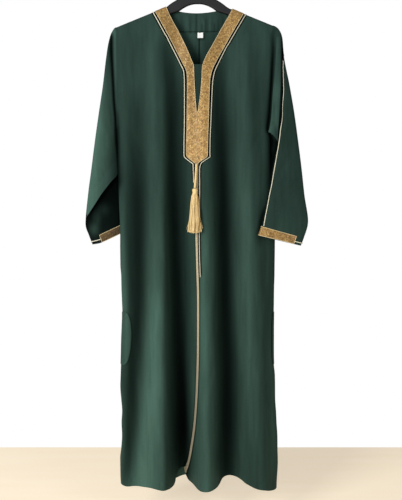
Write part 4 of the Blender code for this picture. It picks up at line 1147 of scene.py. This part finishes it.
def plastic_finish():
    """Matt charcoal plastic with a fine spark-eroded grain, with painted shade that turns it black
    underneath.
    """
    finish = Finish("hanger_plastic")
    grain = finish.noise(1500.0, 2.0)
    colour = finish.mix(finish.noise(30.0, 3.0), (0.0075, 0.008, 0.0095), (0.0125, 0.0135, 0.0155))
    # Painted shade: faces that point down are turned black
    under = finish.range(finish.up(finish.node("NewGeometry", "Normal")), 1.0, 0.0, -0.6, -0.1)
    finish.set(
        Base_Color=finish.mix(under, colour, (0.001, 0.001, 0.0015)),
        Roughness=finish.range(grain, 0.5, 0.62),
        Specular_IOR_Level=0.35,
        Normal=finish.bump(grain, 0.25, 0.0002),
    )
    return finish.material


def floor_finish():
    finish = Finish("floor_pale_wood")
    grain = finish.noise(3.0, 4.0, finish.stretched(1.2, 9.0, 1.0))
    colour = finish.mix(grain, (0.90, 0.76, 0.57), (0.95, 0.83, 0.66))
    finish.set(Base_Color=colour, Roughness=0.7, Emission_Color=colour, Emission_Strength=0.5)
    return finish.material


CREPE = crepe_finish("crepe_bottle_green")
# The underlap's copy of the crepe, with a fixed share of painted light
UNDERLAP = crepe_finish("crepe_underlap", 0.34)
GALLOON = galloon_finish()
CREAM = thread_finish("cord_cream", (0.66, 0.62, 0.46), (0.95, 0.93, 0.77), 0.5)
# A copy of the cream cord with painted shade, for the neck cord on the shaded left side
CREAM_SHADED = thread_finish("cord_cream_shaded", (0.52, 0.49, 0.36), (0.76, 0.74, 0.60), 0.5)
EDGE = thread_finish("galloon_edge_thread", (0.62, 0.50, 0.27), (0.88, 0.76, 0.50), 0.5)
# Painted shade darkens the braid towards the hem
BRAID = thread_finish("braid_gold", (0.40, 0.33, 0.20), (0.72, 0.64, 0.46), 0.45, dimmed=0.55)
GOLD = thread_finish("tassel_gold", (0.68, 0.44, 0.14), (1.0, 0.84, 0.46), 0.30, 0.05, 2200.0)
PLASTIC = plastic_finish()
LABEL = thread_finish("label_white", (0.80, 0.80, 0.80), (0.92, 0.92, 0.91), 0.7, 0.0, 1800.0, 0.0)


# --- The cloth ---

SLEEVE_SECTION = 168
SLEEVE_BACK_LIGHT = 0.42
# A crease this high, in millimetres, would change the light on a sleeve's back by 1
FULL_LIGHT_CREASE = 16
FLAP_LIGHT = ((0.0, 0.5), (0.25, 0.5), (0.4, 0.56), (0.6, 0.86), (0.84, 0.76), (1.0, 0.8))
FLAP_LIFT = 1.2
FLAP_CURL = 2.2
FLAP_STEP = 3.5
LAYER_SINK = 0.4
ARM_FOLD_SPAN = (229.2, 321)
ARM_FOLD_LIFT = 1.9


def add_body():
    for face in ("front", "back"):
        for side in SIGN:
            points, normals = panel_grid(face, side)
            x, drop = points[..., 0], -points[..., 2]
            if face == "front":
                light = front_light(x, drop) * trim_shade(side, x, drop)
            else:
                light = back_light(x, drop)
            made = shell(f"{face}_{side}_cloth", points, normals, CREPE, node=f"{face}_{side}", light=light)


def add_sleeves():
    angle = 2 * math.pi * np.arange(SLEEVE_SECTION) / SLEEVE_SECTION
    forward = smooth(np.sin(angle) * 5 + 1)[None]
    for side in SIGN:
        points = sleeve_surface(side, ring_numbers(), angle)
        normals = grid_normals(points, (0, -1, 0), closed=True)
        creases = crease_offset(SLEEVE_CREASES[side, "back"], points[..., 0], -points[..., 2])
        behind = SLEEVE_BACK_LIGHT + creases / FULL_LIGHT_CREASE
        light = sleeve_light(side, points) * forward + behind * (1 - forward)
        name = f"sleeve_{side}"
        made = shell(f"{name}_cloth", points, normals, CREPE, closed=True, node=name, light=light)
        layer = add_flap(made) if side == "left" else add_arm_fold(made)
        add_sleeve_cord(side)
        add_cuff(side)


def nearest_y(pieces, x, drop):
    """y of the most forward surface of these pieces behind each point. A gap takes its neighbour's y."""
    found = np.full(x.shape, np.nan)
    for piece in pieces:
        corners = [vertex.co for vertex in piece.data.vertices]
        tree = BVHTree.FromPolygons(corners, [face.vertices for face in piece.data.polygons])
        for place in np.ndindex(x.shape):
            start = Vector((x[place], -300, -drop[place])) * MM
            spot = tree.ray_cast(start, Vector((0, 1, 0)))[0]
            if spot is not None:
                found[place] = np.nanmin([found[place], spot.y / MM])
    for row in found:
        known = np.flatnonzero(~np.isnan(row))
        row[:] = np.interp(np.arange(len(row)), known, row[known])
    return found


def add_flap(sleeve):
    """The left sleeve's front hangs down in a flap over the armhole, to a loose lower corner."""
    down = np.linspace(0, 1, 64)
    across = np.linspace(0, 1, 22)[None]
    lines = (FLAP_OUTER_LINE, FLAP_INNER_LINE)
    (x, drop), (inner_x, inner_drop) = ([curve(line, down, i)[:, None] for i in (1, 2)] for line in lines)
    x = x + (inner_x - x) * across
    drop = drop + (inner_drop - drop) * across**1.8
    y = nearest_y([sleeve, bpy.data.objects["front_left_cloth"]], x, drop)
    y = np.minimum(y, y[:, 9:10] + FLAP_STEP)
    free = smooth(down / 0.3)[:, None]
    y = y - free * (FLAP_LIFT + FLAP_CURL * (1 - across) ** 2) + LAYER_SINK * (1 - free)
    y = y - 0.8 * ripple(drop / 130, 3) * free * (1 - across)
    points = np.stack([x, y, -drop], axis=-1)
    light = curve(FLAP_LIGHT, down)[:, None] * (1 - 0.35 * across) * (1 + 0.06 * ripple(drop / 90, 2))
    light = light * (1 - 0.5 * smooth((across - 0.4) / 0.4) * smooth((down - 0.86) / 0.1)[:, None])
    return shell("sleeve_left_flap", points, grid_normals(points, (0, -1, 0)), CREPE, light=light)


def add_arm_fold(sleeve):
    """The right sleeve's upper arm folds over its forearm, which lies behind."""
    distance = np.linspace(*ARM_FOLD_SPAN, 52)[:, None]
    down = np.linspace(0, 1, 20)[None]
    x = -(distance - 5 * (1 - down) * (distance > 300))
    drop = curve(ARM_FOLD_EDGE, distance) - ARM_FOLD_LENGTH * (1 - down)
    y = np.minimum.accumulate(nearest_y([sleeve], x, drop), axis=1)
    y = y + LAYER_SINK * (1 - down) - ARM_FOLD_LIFT * smooth(down * 1.4)
    points = np.stack([x, y, -drop], axis=-1)
    light = sleeve_light("right", points, True)
    return shell("sleeve_right_arm_fold", points, grid_normals(points, (0, -1, 0)), CREPE, light=light)


def sleeve_spots(side, rings, angles):
    """Points of a sleeve along a line of ring numbers and angles."""
    places = zip(rings[:, None], angles[:, None] % (2 * math.pi))
    return np.array([sleeve_surface(side, *place)[0, 0] for place in places])


def add_cord(name, spots, normals, radius, yarn):
    """A laid cord, sewn down along these spots."""
    mesh_piece(f"{name}_laid", *twisted(spots, radius, normals), yarn, name)


def add_sleeve_cord(side):
    """The cord lies over the arm, from the shoulder to the cuff."""
    places = np.linspace(0, 1, 150)
    rings = curve(SLEEVE_CORD[side], places, 1)
    angles = np.radians(curve(SLEEVE_CORD[side], places, 2))
    across = sleeve_spots(side, rings, angles + 0.02) - sleeve_spots(side, rings, angles - 0.02)
    spots = sleeve_spots(side, rings, angles)
    normals = unit(np.cross(across, np.gradient(spots, axis=0)))
    normals *= np.sign(normals[len(normals) // 2, 1]) * -SIGN[side]
    spots = spots + normals * (CLOTH / 2 + SLEEVE_CORD_RADIUS)
    shifted = smooth((-spots[:, 2] - SLEEVE_CORD_SHIFT_DROP) / SLEEVE_CORD_SHIFT_FADE)
    spots[:, 0] += SLEEVE_CORD_SHIFT[side] * shifted
    radius = SLEEVE_CORD_RADIUS * curve(SLEEVE_CORD_SIZE[side], places)
    add_cord(f"sleeve_cord_{side}", spots, normals, radius, CREAM)


# --- Galloon, cords and braid ---

# The light and shade painted into the galloon's colour: (drop, share) on each neck band, (x, share) across
# both cuffs
BAND_LIGHT = {
    "right": ((119, 0.85), (240, 0.8), (300, 0.82), (400, 0.85), (460, 0.95), (557, 1.0)),
    "left": ((119, 1.0), (200, 0.97), (270, 0.95), (320, 1.02), (400, 1.0), (557, 0.95)),
}
CUFF_LIGHT = ((-320, 0.27), (-262, 0.25), (-235, 0.15), (-200, 0.12), (180, 0.86), (260, 0.82), (310, 0.7))
CUFF_BACK_LIGHT = 0.8
BAND_CUT = (0.039, 0.46)
BAND_AREA = 0.015
CUFF_CUT = {"right": (0.021, 0.2), "left": (0.026, 0.205)}
# Leaves: place along the repeat, offset from the stem, half length, half breadth, turn in degrees
GALLOON_LEAVES = (
    (2.5, 5.5, 4.6, 2.1, 50), (6.5, -5.0, 4.4, 2.0, -40), (11.0, 6.0, 4.2, 1.9, 65),
    (15.5, -6.0, 4.8, 2.2, -60), (20.0, 5.0, 4.4, 2.0, 40), (25.5, -5.5, 4.4, 2.0, -50),
    (28.0, 11.5, 3.4, 1.7, 20), (8.5, -14.0, 3.6, 1.7, 30),
)
# Scrolls: place along the repeat, offset from the middle, radius
GALLOON_SCROLLS = ((7.5, 13.0, 3.4), (22.0, -13.0, 3.4), (15.0, 15.5, 2.2), (0.0, -15.5, 2.2))
GALLOON_REPEAT = 30.0
GALLOON_WAVE = 6.0
GALLOON_STEP = 1.2
GALLOON_WIDTH = 39
CUFF_GALLOON_WIDTH = 30
GALLOON_RELIEF = 0.35
EDGE_THREAD = 0.9
EDGE_THREAD_LIFT = 0.45
EDGE_THREAD_INSET = 0.7
# How much of its edge threads' thickness the galloon loses at its inner edge, below the slit
EDGE_THREAD_LOSS = 0.65
EDGE_THREAD_FADE = 30
CORD_SEAT = CLOTH / 2 + CORD_LIFT + 0.4
BRAID_PITCH = 13.0
BRAID_HALF_WIDTH = 2.2
BRAID_STRANDS = 4
BRAID_STRAND_RADIUS = 0.95


def galloon_relief(across, along, width):
    """Leaves and scrolls of a galloon in a repeat: how raised, and how dark its outlines are."""
    phase = along / GALLOON_REPEAT
    cell = (phase - np.floor(phase)) * GALLOON_REPEAT
    height = across - width / 2
    raised = [np.clip(1.6 - np.abs(height - GALLOON_WAVE * np.sin(2 * math.pi * phase)), 0, 1)]
    dark = []
    for shift in (-GALLOON_REPEAT, 0, GALLOON_REPEAT):
        for place, offset, length, breadth, turn in GALLOON_LEAVES:
            cos, sin = math.cos(math.radians(turn)), math.sin(math.radians(turn))
            on = cell - place - shift
            up = height - GALLOON_WAVE * math.sin(2 * math.pi * place / GALLOON_REPEAT) - offset
            u, v = on * cos + up * sin, up * cos - on * sin
            inside = 1 - (u / length) ** 2 - (v / (breadth * (1 - 0.35 * u / length))) ** 2
            raised.append(np.clip(inside * 3, 0, 1))
            dark.append(bell(inside / 0.35) * (np.abs(u) < length * 1.2))
            dark.append(np.clip(1 - np.abs(v) / 0.5, 0, 1) * (inside > 0.15) * 0.8)
        for place, offset, radius in GALLOON_SCROLLS:
            distance = np.hypot(cell - place - shift, height - offset)
            raised.append(np.clip(1.5 - np.abs(distance - radius) * 1.4, 0, 1))
            raised.append(np.clip(1.8 - distance, 0, 1))
            dark.append(np.clip(1.2 - np.abs(distance - radius - 1.4) * 1.6, 0, 1) * 0.8)
    half_turned = np.floor(phase * 2) % 2
    return np.max(raised, axis=0), np.max(dark, axis=0) * (1 - 0.3 * half_turned)


def edge_distance(points, edge):
    """Each point's distance to a line of edge points, and how far along it that is."""
    flat = points.reshape(-1, 3)
    nearest = np.empty(len(flat), int)
    distance = np.empty(len(flat))
    for start in range(0, len(flat), 4000):
        part = np.s_[start : start + 4000]
        squares = ((flat[part][:, None] - edge[None]) ** 2).sum(axis=2)
        nearest[part] = squares.argmin(axis=1)
        distance[part] = np.sqrt(squares.min(axis=1))
    shape = points.shape[:2]
    return distance.reshape(shape), lengths_along(edge)[nearest].reshape(shape)


def add_galloon(name, points, normals, border, width, light, edges, cut, under, area=None):
    """Galloon whose pattern follows a border, with a thread on its edges: (place, inset, radius)."""
    raised, dark = galloon_relief(*edge_distance(points, border), width)
    lifted = points + normals * (raised * GALLOON_RELIEF)[..., None]
    values = {"motif": raised, "outline": dark, "light": light}
    made = shell(f"{name}_galloon", lifted, normals, GALLOON, TRIM, TRIM_LIFT, node=name, **values)
    threads = []
    for place, inset, radius in edges:
        route = points[place] + normals[place] * (TRIM_LIFT + EDGE_THREAD_LIFT) + (inset, 0, 0)
        threads.append(twisted(route, radius, normals[place], pitch=3.4, steps=5, sides=4))
    thread = bundle_piece(f"{name}_edge_threads", threads, EDGE)


def add_neck_bands():
    stations = row_stations(BAND_POINT_DROP, GALLOON_STEP, 1.0, 4)
    _, depth = shoulder_profile(stations)
    share = np.linspace(0, 1, int(GALLOON_WIDTH / GALLOON_STEP) + 1)
    for side, sign in SIGN.items():
        inner = inner_edge(side, NECK_DROP + depth)[:, None]
        x = inner * (1 - share) + band_edge(side, depth)[:, None] * share
        points, normals = on_body("front", x, stations[:, None])
        drop = -points[..., 2]
        below_slit = smooth((drop[:, 0] - BAND_JOIN_DROP) / EDGE_THREAD_FADE)
        thin = EDGE_THREAD * (1 - EDGE_THREAD_LOSS * below_slit)
        inset = EDGE_THREAD_INSET * sign
        edges = ((np.s_[:, 0], inset, thin), (np.s_[:, -1], -inset, EDGE_THREAD))
        light = curve(BAND_LIGHT[side], drop)
        sewn_on = (BAND_CUT, f"front_{side}_cloth", BAND_AREA)
        name = f"neck_band_{side}"
        add_galloon(name, points, normals, points[:, -1], GALLOON_WIDTH, light, edges, *sewn_on)
        add_neck_cord(side)


def add_neck_cord(side):
    stations = np.arange(0, station_at(NECK_CORD_END[side] - NECK_DROP), 2.0)
    _, depth = shoulder_profile(stations)
    x = band_edge(side, depth)
    x = x + SIGN[side] * curve(CORD_MARGIN, drop_at(x, depth), COLUMN[side])
    spots, normals = on_body("front", x, stations)
    # The left cord, on the shaded side, takes the copy with painted shade
    yarn = CREAM if side == "right" else CREAM_SHADED
    add_cord(f"neck_cord_{side}", spots + normals * CORD_SEAT, normals, NECK_CORD_RADIUS, yarn)


CUFF_ROWS = 28
CUFF_COLUMNS = 200
CUFF_CORD_POINTS = 60


def add_cuff(side):
    """The galloon goes round the cuff but for its outer corner, where only a cord runs."""
    rings = CUFF_RING + np.linspace(*CUFF_BAND_REACH[side], CUFF_ROWS)
    gap = CUFF_GAP[side]
    points = sleeve_surface(side, rings, 2 * math.pi * np.linspace(gap, 1 - gap, CUFF_COLUMNS))
    normals = grid_normals(points, (0, -1, 0))
    forward = points[..., 1] < points[..., 1].mean()
    light = curve(CUFF_LIGHT, points[..., 0]) * np.where(forward, 1.0, CUFF_BACK_LIGHT)
    edges = [(place, 0, EDGE_THREAD) for place in (np.s_[0], np.s_[-1], np.s_[:, 0], np.s_[:, -1])]
    sewn_on = (CUFF_CUT[side], f"sleeve_{side}_cloth")
    name = f"cuff_band_{side}"
    add_galloon(name, points, normals, points[-1], CUFF_GALLOON_WIDTH, light, edges, *sewn_on)
    angle = 2 * math.pi * np.linspace(-gap, gap, CUFF_CORD_POINTS) % (2 * math.pi)
    corner = sleeve_surface(side, CUFF_RING + CUFF_CORD_PLACE[side] + np.array([-0.1, 0.0]), angle)
    normals = grid_normals(corner, (SIGN[side], 0, 0))[1]
    outward = corner[1] - corner[1].mean(axis=0)
    normals = np.where((normals * outward).sum(axis=1, keepdims=True) < 0, -normals, normals)
    add_cord(f"cuff_cord_{side}", corner[1] + normals * CORD_SEAT, normals, NECK_CORD_RADIUS, CREAM)


def add_braid():
    """A flat plait over the centre-front seam: strands that wander from edge to edge and back."""
    top, bottom = (station_at(drop - NECK_DROP) for drop in (BAND_POINT_DROP, HEM_DROP - 4))
    stations = np.arange(top, bottom, 0.95)
    centre = curve(CENTRE_LINE, NECK_DROP + shoulder_profile(stations)[1])
    paths = []
    for strand in range(BRAID_STRANDS):
        turn = 2 * math.pi * (stations / BRAID_PITCH + strand / BRAID_STRANDS)
        points, normals = on_body("front", centre + BRAID_HALF_WIDTH * np.sin(turn), stations)
        height = CLOTH / 2 + 0.9 + 0.45 * np.cos(2 * turn)
        paths.append(points + normals * height[:, None])
    mesh_piece("front_braid_plait", *bundle(paths, BRAID_STRAND_RADIUS, 5), BRAID, "front_braid")


# --- The neck's inside and the pockets ---

UNDERLAP_DROPS = (280, 442)
FACING_LENGTH = 54
FACING_REACH = (-72, 86)
FACING_STITCH_DROP = 183.5
FACING_LIGHT = 0.40
# Creases pulled up by the facing's stitches, painted as lines of shade, or of highlight where the strength
# is negative: x, length along the cloth where each starts, strength
FACING_CREASES = (
    (-1, -10, 0.4), (15, 44, 0.4), (20, 34, -0.2), (25, 30, 0.3), (-18, 36, 0.2), (-36, 34, 0.15),
    (50, 42, 0.4),
)
LABEL_SPAN = (2.6, 18.4)
LABEL_DROPS = (186.5, 201.3)
LABEL_THICKNESS = 0.6
LABEL_LIFT = -2.0
POCKET_DROPS = (985, 1139)
POCKET_WIDTH = {"right": 30, "left": 8}
POCKET_LIGHT = {"right": 0.62, "left": 0.36}
POCKET_LIFT = 1.6


def add_underlap():
    """The strip behind the slit, which closes the neck below its opening."""
    top, bottom = (station_at(drop - NECK_DROP) for drop in UNDERLAP_DROPS)
    stations = np.arange(top, bottom, 3.0)
    _, depth = shoulder_profile(stations)
    right, left = (inner_edge(side, NECK_DROP + depth) + band_edge(side, depth) for side in SIGN)
    share = np.linspace(0, 0.5, 16)
    x = right[:, None] * (0.5 - share) + left[:, None] * share
    points, normals = on_body("front", x, stations[:, None])
    made = shell("slit_underlap_cloth", points, normals, UNDERLAP, CLOTH, UNDER_LIFT, node="slit_underlap")


def add_facing():
    """The facing lies inside the back neck. Small creases run up from its stitched lower edge: a slight
    ripple in its shape, with their shade painted on.
    """
    x = np.linspace(*FACING_REACH, 60)[None]
    along = below_back_neck(x, np.linspace(0, station_at(FACING_LENGTH), 36))
    points, normals = on_body("back", x, along)
    points = points - normals * (0.7 * ripple(x / 15, 2) * smooth((along - 18) / 30))[..., None]
    light = FACING_LIGHT * (1 + 0.16 * ripple(x / 23, 6) * smooth((along - 12) / 30))
    for place, start, strength in FACING_CREASES:
        light = light * (1 - strength * bell((x - place) / 2.6) * smooth((along - start) / 12))
    drop = drop_at(x, shoulder_profile(along)[1])
    light = light * (1 - 0.6 * bell((drop - FACING_STITCH_DROP) / 1.5))
    name = "back_neck_facing"
    made = shell(f"{name}_cloth", points, normals, CREPE, CLOTH, UNDER_LIFT, node=name, light=light)


def add_label():
    """A small bare label, folded double and caught into the seam at its upper edge."""
    along = station_at(np.linspace(*LABEL_DROPS, 12) - NECK_DROP)[:, None]
    x = np.linspace(*LABEL_SPAN, 12)[None]
    points, normals = on_body("back", x, along)
    curl = 0.35 * ((x - np.mean(LABEL_SPAN)) / 9.5) ** 2 + 0.4 * smooth((along - along.min()) / 17)
    points = points - normals * curl[..., None]
    made = shell("neck_label_cloth", points, normals, LABEL, LABEL_THICKNESS, LABEL_LIFT, node="neck_label")


POCKET_ROWS = 52
POCKET_COLUMNS = 16
POCKET_MARGIN = 0.8
POCKET_FOLD_SHADOW = 0.9
# As shares of the edge's width: its width at the mouth's ends, and the half width of the shadow painted
# along its fold
POCKET_END_WIDTH = 0.45
POCKET_FOLD_WIDTH = 0.09
TACK_GLEAM = 0.45
TACK_REACH = 14
DARKEST = 0.02


def add_pockets():
    """The turned edge of each side pocket, with the ends of its mouth held by bar tacks. A shadow is
    painted along its fold, and rippled highlights and shade near the tacks.
    """
    top, bottom = POCKET_DROPS
    drops = np.linspace(top, bottom, POCKET_ROWS)[:, None]
    belly = np.sin(math.pi * (drops - top) / (bottom - top)).clip(0) ** 0.5
    share = np.linspace(0, 1, POCKET_COLUMNS)[None]
    near_end = np.minimum(drops - top, bottom - drops)
    for side, sign in SIGN.items():
        reach = POCKET_WIDTH[side] * (POCKET_END_WIDTH + (1 - POCKET_END_WIDTH) * belly)
        x = sign * (side_distance(float(sign), drops) - POCKET_MARGIN - (1 - share) * reach)
        points, normals = on_body("front", x, station_at(drops - NECK_DROP))
        # Rippled painted highlight and shade near the bar tacks
        tacks = 1 + TACK_GLEAM * ripple(x / 7 + drops / 9, 4) * np.exp(-near_end / TACK_REACH)
        fold = 1 - POCKET_FOLD_SHADOW * bell(share / POCKET_FOLD_WIDTH)
        light = np.clip(POCKET_LIGHT[side] * fold * tacks, DARKEST, 1)
        name = f"pocket_{side}"
        made = shell(f"{name}_edge", points, normals, CREPE, CLOTH, POCKET_LIFT, node=name, light=light)


# --- The tassel ---


def add_tassel():
    surface = float(body_surface("front", TASSEL_X, station_at(TASSEL_TOP_DROP - NECK_DROP))[1])
    trim_face = surface - SOLID_CLOTH / 2 - SOLID_TRIM - 2 * SEAM_GAP
    cord_y = trim_face - TASSEL_CORD_RADIUS - TASSEL_CORD_GAP
    head_y = trim_face - TASSEL_HEAD_RADIUS - TASSEL_HEAD_GAP
    x, drop = np.array(TASSEL_CORD_ROUTE).T
    forward = smooth((drop - drop[0]) / (drop[-1] - drop[0]))
    cord = np.stack([x, cord_y + (head_y - cord_y) * forward, -drop], axis=1)
    facing = np.tile((0.0, -1.0, 0.0), (len(cord), 1))
    laid = twisted(cord, TASSEL_CORD_RADIUS, facing, plies=3, pitch=13, steps=16, sides=8)
    rope = mesh_piece("tassel_cord_laid", *laid, GOLD, "tassel_cord")
    centre = np.array((TASSEL_X, head_y, -TASSEL_TOP_DROP))
    bundles = [tassel_head(centre), tassel_threads(centre), tassel_strays(centre)]
    tassel = bundle_piece("tassel_threads", bundles, GOLD, "tassel")


# The bound head: (distance below its top, radius)
HEAD_PROFILE = (
    (0.0, 2.5), (1.5, 5.5), (4.5, 7.6), (8.0, 7.4), (11.0, 6.4), (13.0, 6.6), (18.0, 7.6), (21.0, 8.4),
)
HEAD_TURNS = 15
HEAD_TURN_POINTS = 20
HEAD_WINDING_TOP = 1.0
HEAD_WINDING_LENGTH = 15.0
HEAD_YARN_RADIUS = 0.62
HEAD_YARN_SINK = 0.2
HEAD_FLATTENING = 0.95
THREADS = 620
THREAD_POINTS = 14
LOCKS = 22
THREAD_RADIUS = 0.42
STRAYS = 14
# The skirt of threads, below the head's top. Its lower edge is rounded and uneven by so much
SKIRT_TOP = 14
SKIRT_END = 17
SKIRT_ROOT_RADIUS = 6.6
SKIRT_INSET = 2.0
SKIRT_LEAN = 1.5
SKIRT_ROUNDING = 4.0
SKIRT_UNEVENNESS = 1.5
LOCK_TURN = 0.10
LOCK_SWAY = 1.6
LOCK_WAVE = 1.2
THREAD_SCATTER = 0.35


def tassel_head(centre):
    """Yarn wound round the head in close, slightly uneven turns."""
    t = np.linspace(0, 1, HEAD_TURNS * HEAD_TURN_POINTS)
    below = HEAD_WINDING_TOP + t * HEAD_WINDING_LENGTH
    radius = curve(HEAD_PROFILE, below) - HEAD_YARN_SINK
    angle = 2 * math.pi * HEAD_TURNS * t
    path = np.stack([radius * np.cos(angle), radius * np.sin(angle) * HEAD_FLATTENING, -below], axis=1)
    return bundle([path + centre], HEAD_YARN_RADIUS, 6, (0, 0, 1))


def tassel_threads(centre):
    """Threads in wavy locks, from under the head to an uneven, slightly rounded lower edge."""
    rng = np.random.default_rng(7)
    share = np.sqrt(rng.random(THREADS))
    angle = 2 * math.pi * rng.random(THREADS)
    lock = np.floor(angle / (2 * math.pi) * LOCKS)
    t = np.linspace(0, 1, THREAD_POINTS)[None]
    lock_phase = (np.sin(lock * 2.4) * math.pi)[:, None]
    gathered = angle + LOCK_TURN * np.sin(lock * 1.9)
    root_radius = share * SKIRT_ROOT_RADIUS
    end_x = np.cos(gathered) * share * (TASSEL_HALF_WIDTH - SKIRT_INSET) - SKIRT_LEAN
    end_y = np.sin(gathered) * share * TASSEL_HALF_DEPTH - TASSEL_FORWARD
    root_x = np.cos(angle) * root_radius
    root_y = np.sin(angle) * root_radius
    length = TASSEL_LENGTH - SKIRT_END - SKIRT_ROUNDING * share**2
    length += rng.normal(0, SKIRT_UNEVENNESS, THREADS)
    spread = 0.75 * t**0.5 + 0.25 * t**3
    x = root_x[:, None] + (end_x - root_x)[:, None] * spread
    y = root_y[:, None] + (end_y - root_y)[:, None] * (t**1.1)
    sway = np.sin(2.4 * math.pi * t + lock_phase) * LOCK_SWAY * smooth(t * 1.6)
    scatter = rng.normal(0, THREAD_SCATTER, (THREADS, 1)) * t
    x = x + sway * (0.6 + 0.4 * np.cos(angle))[:, None] + scatter
    y = y + LOCK_WAVE * np.cos(3.0 * math.pi * t + lock_phase) * t
    z = -SKIRT_TOP - length[:, None] * t
    return bundle(np.stack(np.broadcast_arrays(x, y, z), axis=2) + centre, THREAD_RADIUS, 3)


def tassel_strays(centre):
    """Loose fine strands outside the skirt."""
    rng = np.random.default_rng(11)
    t = np.linspace(0, 1, THREAD_POINTS)[None]
    side = np.where(np.arange(STRAYS) % 2, 1, -1)[:, None]
    reach = 18 + 6 * rng.random((STRAYS, 1))
    start = 40 + 30 * rng.random((STRAYS, 1))
    x = side * (9 + (reach - 9) * t**1.3) + np.sin(5 * t + 6 * rng.random((STRAYS, 1))) * 1.0
    y = -6 - 12 * t + 5 * rng.random((STRAYS, 1))
    z = -start - (108 - start + 8 * rng.random((STRAYS, 1))) * t
    return bundle(np.stack(np.broadcast_arrays(x, y, z), axis=2) + centre, 0.16, 3)


# --- The hanger ---


def hanger_outline():
    """The outline's corners, from the top of the neck round to it again."""
    shoulder = [(x, float(shoulder_drop(x)) + HANGER_CLEARANCE) for x in HANGER_SHOULDER]
    tip_x, tip_top = shoulder[-1]
    upper = [*HANGER_NECK, *shoulder, *((tip_x + past, tip_top + below) for past, below in HANGER_NOSE)]
    under = [[(sign * x + HANGER_UNDERSIDE_SHIFT, y) for x, y in HANGER_UNDERSIDE] for sign in (1, -1)]
    around = [*upper, *under[0], *reversed(under[1][:-1]), *((-x, drop) for x, drop in reversed(upper))]
    return [(x, -drop) for x, drop in around]


def curve_piece(name, data, turn=0.0, node=None):
    """A curve's evaluated shape, turned about X, as a piece of the hanger's plastic."""
    holder = placed(name, data)
    bpy.context.view_layer.update()
    graph = bpy.context.evaluated_depsgraph_get()
    mesh = bpy.data.meshes.new_from_object(holder.evaluated_get(graph))
    bpy.data.objects.remove(holder)
    mesh.name = name
    mesh.transform(Matrix.Rotation(turn, 4, "X"))
    piece(name, mesh, PLASTIC, HANGER_SHARP_ANGLE, node)


def add_hanger():
    flat = set_up(
        bpy.data.curves.new("hanger_outline", "CURVE"),
        dimensions="2D",
        fill_mode="BOTH",
        resolution_u=10,
        extrude=(HANGER_THICKNESS / 2 - HANGER_ROUNDING) * MM,
        bevel_depth=HANGER_ROUNDING * MM,
        bevel_resolution=4,
        offset=-HANGER_ROUNDING * MM,
    )
    outline = flat.splines.new("BEZIER")
    corners = hanger_outline()
    outline.bezier_points.add(len(corners) - 1)
    for control, (x, z) in zip(outline.bezier_points, corners):
        set_up(control, co=(x * MM, z * MM, 0), handle_left_type="AUTO", handle_right_type="AUTO")
    outline.use_cyclic_u = True
    curve_piece("hanger_arms", flat, math.pi / 2, "hanger")

    radius = HOOK_RADIUS + HOOK_WIRE
    route = [(x, -drop) for x, drop in HOOK_SHANK]
    for angle in np.radians(np.linspace(*HOOK_TURN, HOOK_POINTS)):
        route.append((radius * math.cos(angle), radius * math.sin(angle) - HOOK_RADIUS))
    wire = bpy.data.curves.new("hanger_hook_route", "CURVE")
    set_up(wire, dimensions="3D", bevel_depth=HOOK_WIRE * MM, bevel_resolution=5, use_fill_caps=True)
    spline = wire.splines.new("NURBS")
    spline.points.add(len(route) - 1)
    for control, (x, z) in zip(spline.points, route):
        control.co = (x * MM, 0, z * MM, 1)
    set_up(spline, order_u=3, use_endpoint_u=True, resolution_u=4)
    curve_piece("hanger_hook", wire)


# --- The camera, the light and the floor ---


def add_camera():
    lens = SENSOR * FOCAL_PIXELS / PHOTO_HEIGHT
    data = set_up(bpy.data.cameras.new("camera"), sensor_fit="AUTO", sensor_width=SENSOR, lens=lens)
    camera = placed("camera", data)
    camera.location = Vector(CAMERA_PLACE) * MM
    camera.rotation_euler = (math.radians(90 + CAMERA_PITCH), 0, 0)
    bpy.context.scene.camera = camera


def add_light(name, place, target, size, power):
    data = bpy.data.lights.new(name, "AREA")
    set_up(data, shape="RECTANGLE", size=size[0], size_y=size[1], energy=power)
    facing = (Vector(target) - Vector(place)).to_track_quat("-Z", "Y").to_euler()
    set_up(placed(name, data), location=place, rotation_euler=facing)


def add_stage():
    bpy.context.scene.view_settings.view_transform = "Standard"
    world = bpy.data.worlds.new("white_room")
    bpy.context.scene.world = world
    world.use_nodes = True
    nodes, links = world.node_tree.nodes, world.node_tree.links
    background = nodes["Background"]
    background.inputs["Color"].default_value = (1, 1, 1, 1)
    path = nodes.new("ShaderNodeLightPath")
    strength = nodes.new("ShaderNodeMapRange")
    strength.inputs["To Min"].default_value = ROOM_LIGHT
    strength.inputs["To Max"].default_value = 1.0
    links.new(path.outputs["Is Camera Ray"], strength.inputs["Value"])
    links.new(strength.outputs["Result"], background.inputs["Strength"])
    mesh = bpy.data.meshes.new("floor")
    wide, level = FLOOR_HALF_WIDTH, -FLOOR_DROP
    corners = [(-wide, FLOOR_NEAR_Y), (wide, FLOOR_NEAR_Y), (wide, FLOOR_FAR_Y), (-wide, FLOOR_FAR_Y)]
    mesh.from_pydata([Vector((*corner, level)) * MM for corner in corners], [], [(0, 1, 2, 3)])
    mesh.materials.append(floor_finish())
    placed("floor", mesh)
    add_light("key", (-1.9, -2.4, -0.2), (0, 0, -0.85), (1.2, 1.8), 84)
    add_light("fill", (2.2, -2.6, -0.4), (0, 0, -0.8), (1.6, 2.0), 18)


add_camera()
add_tassel()
add_body()
add_sleeves()
add_neck_bands()
add_braid()
add_underlap()
add_facing()
add_label()
add_pockets()
add_hanger()
add_stage()
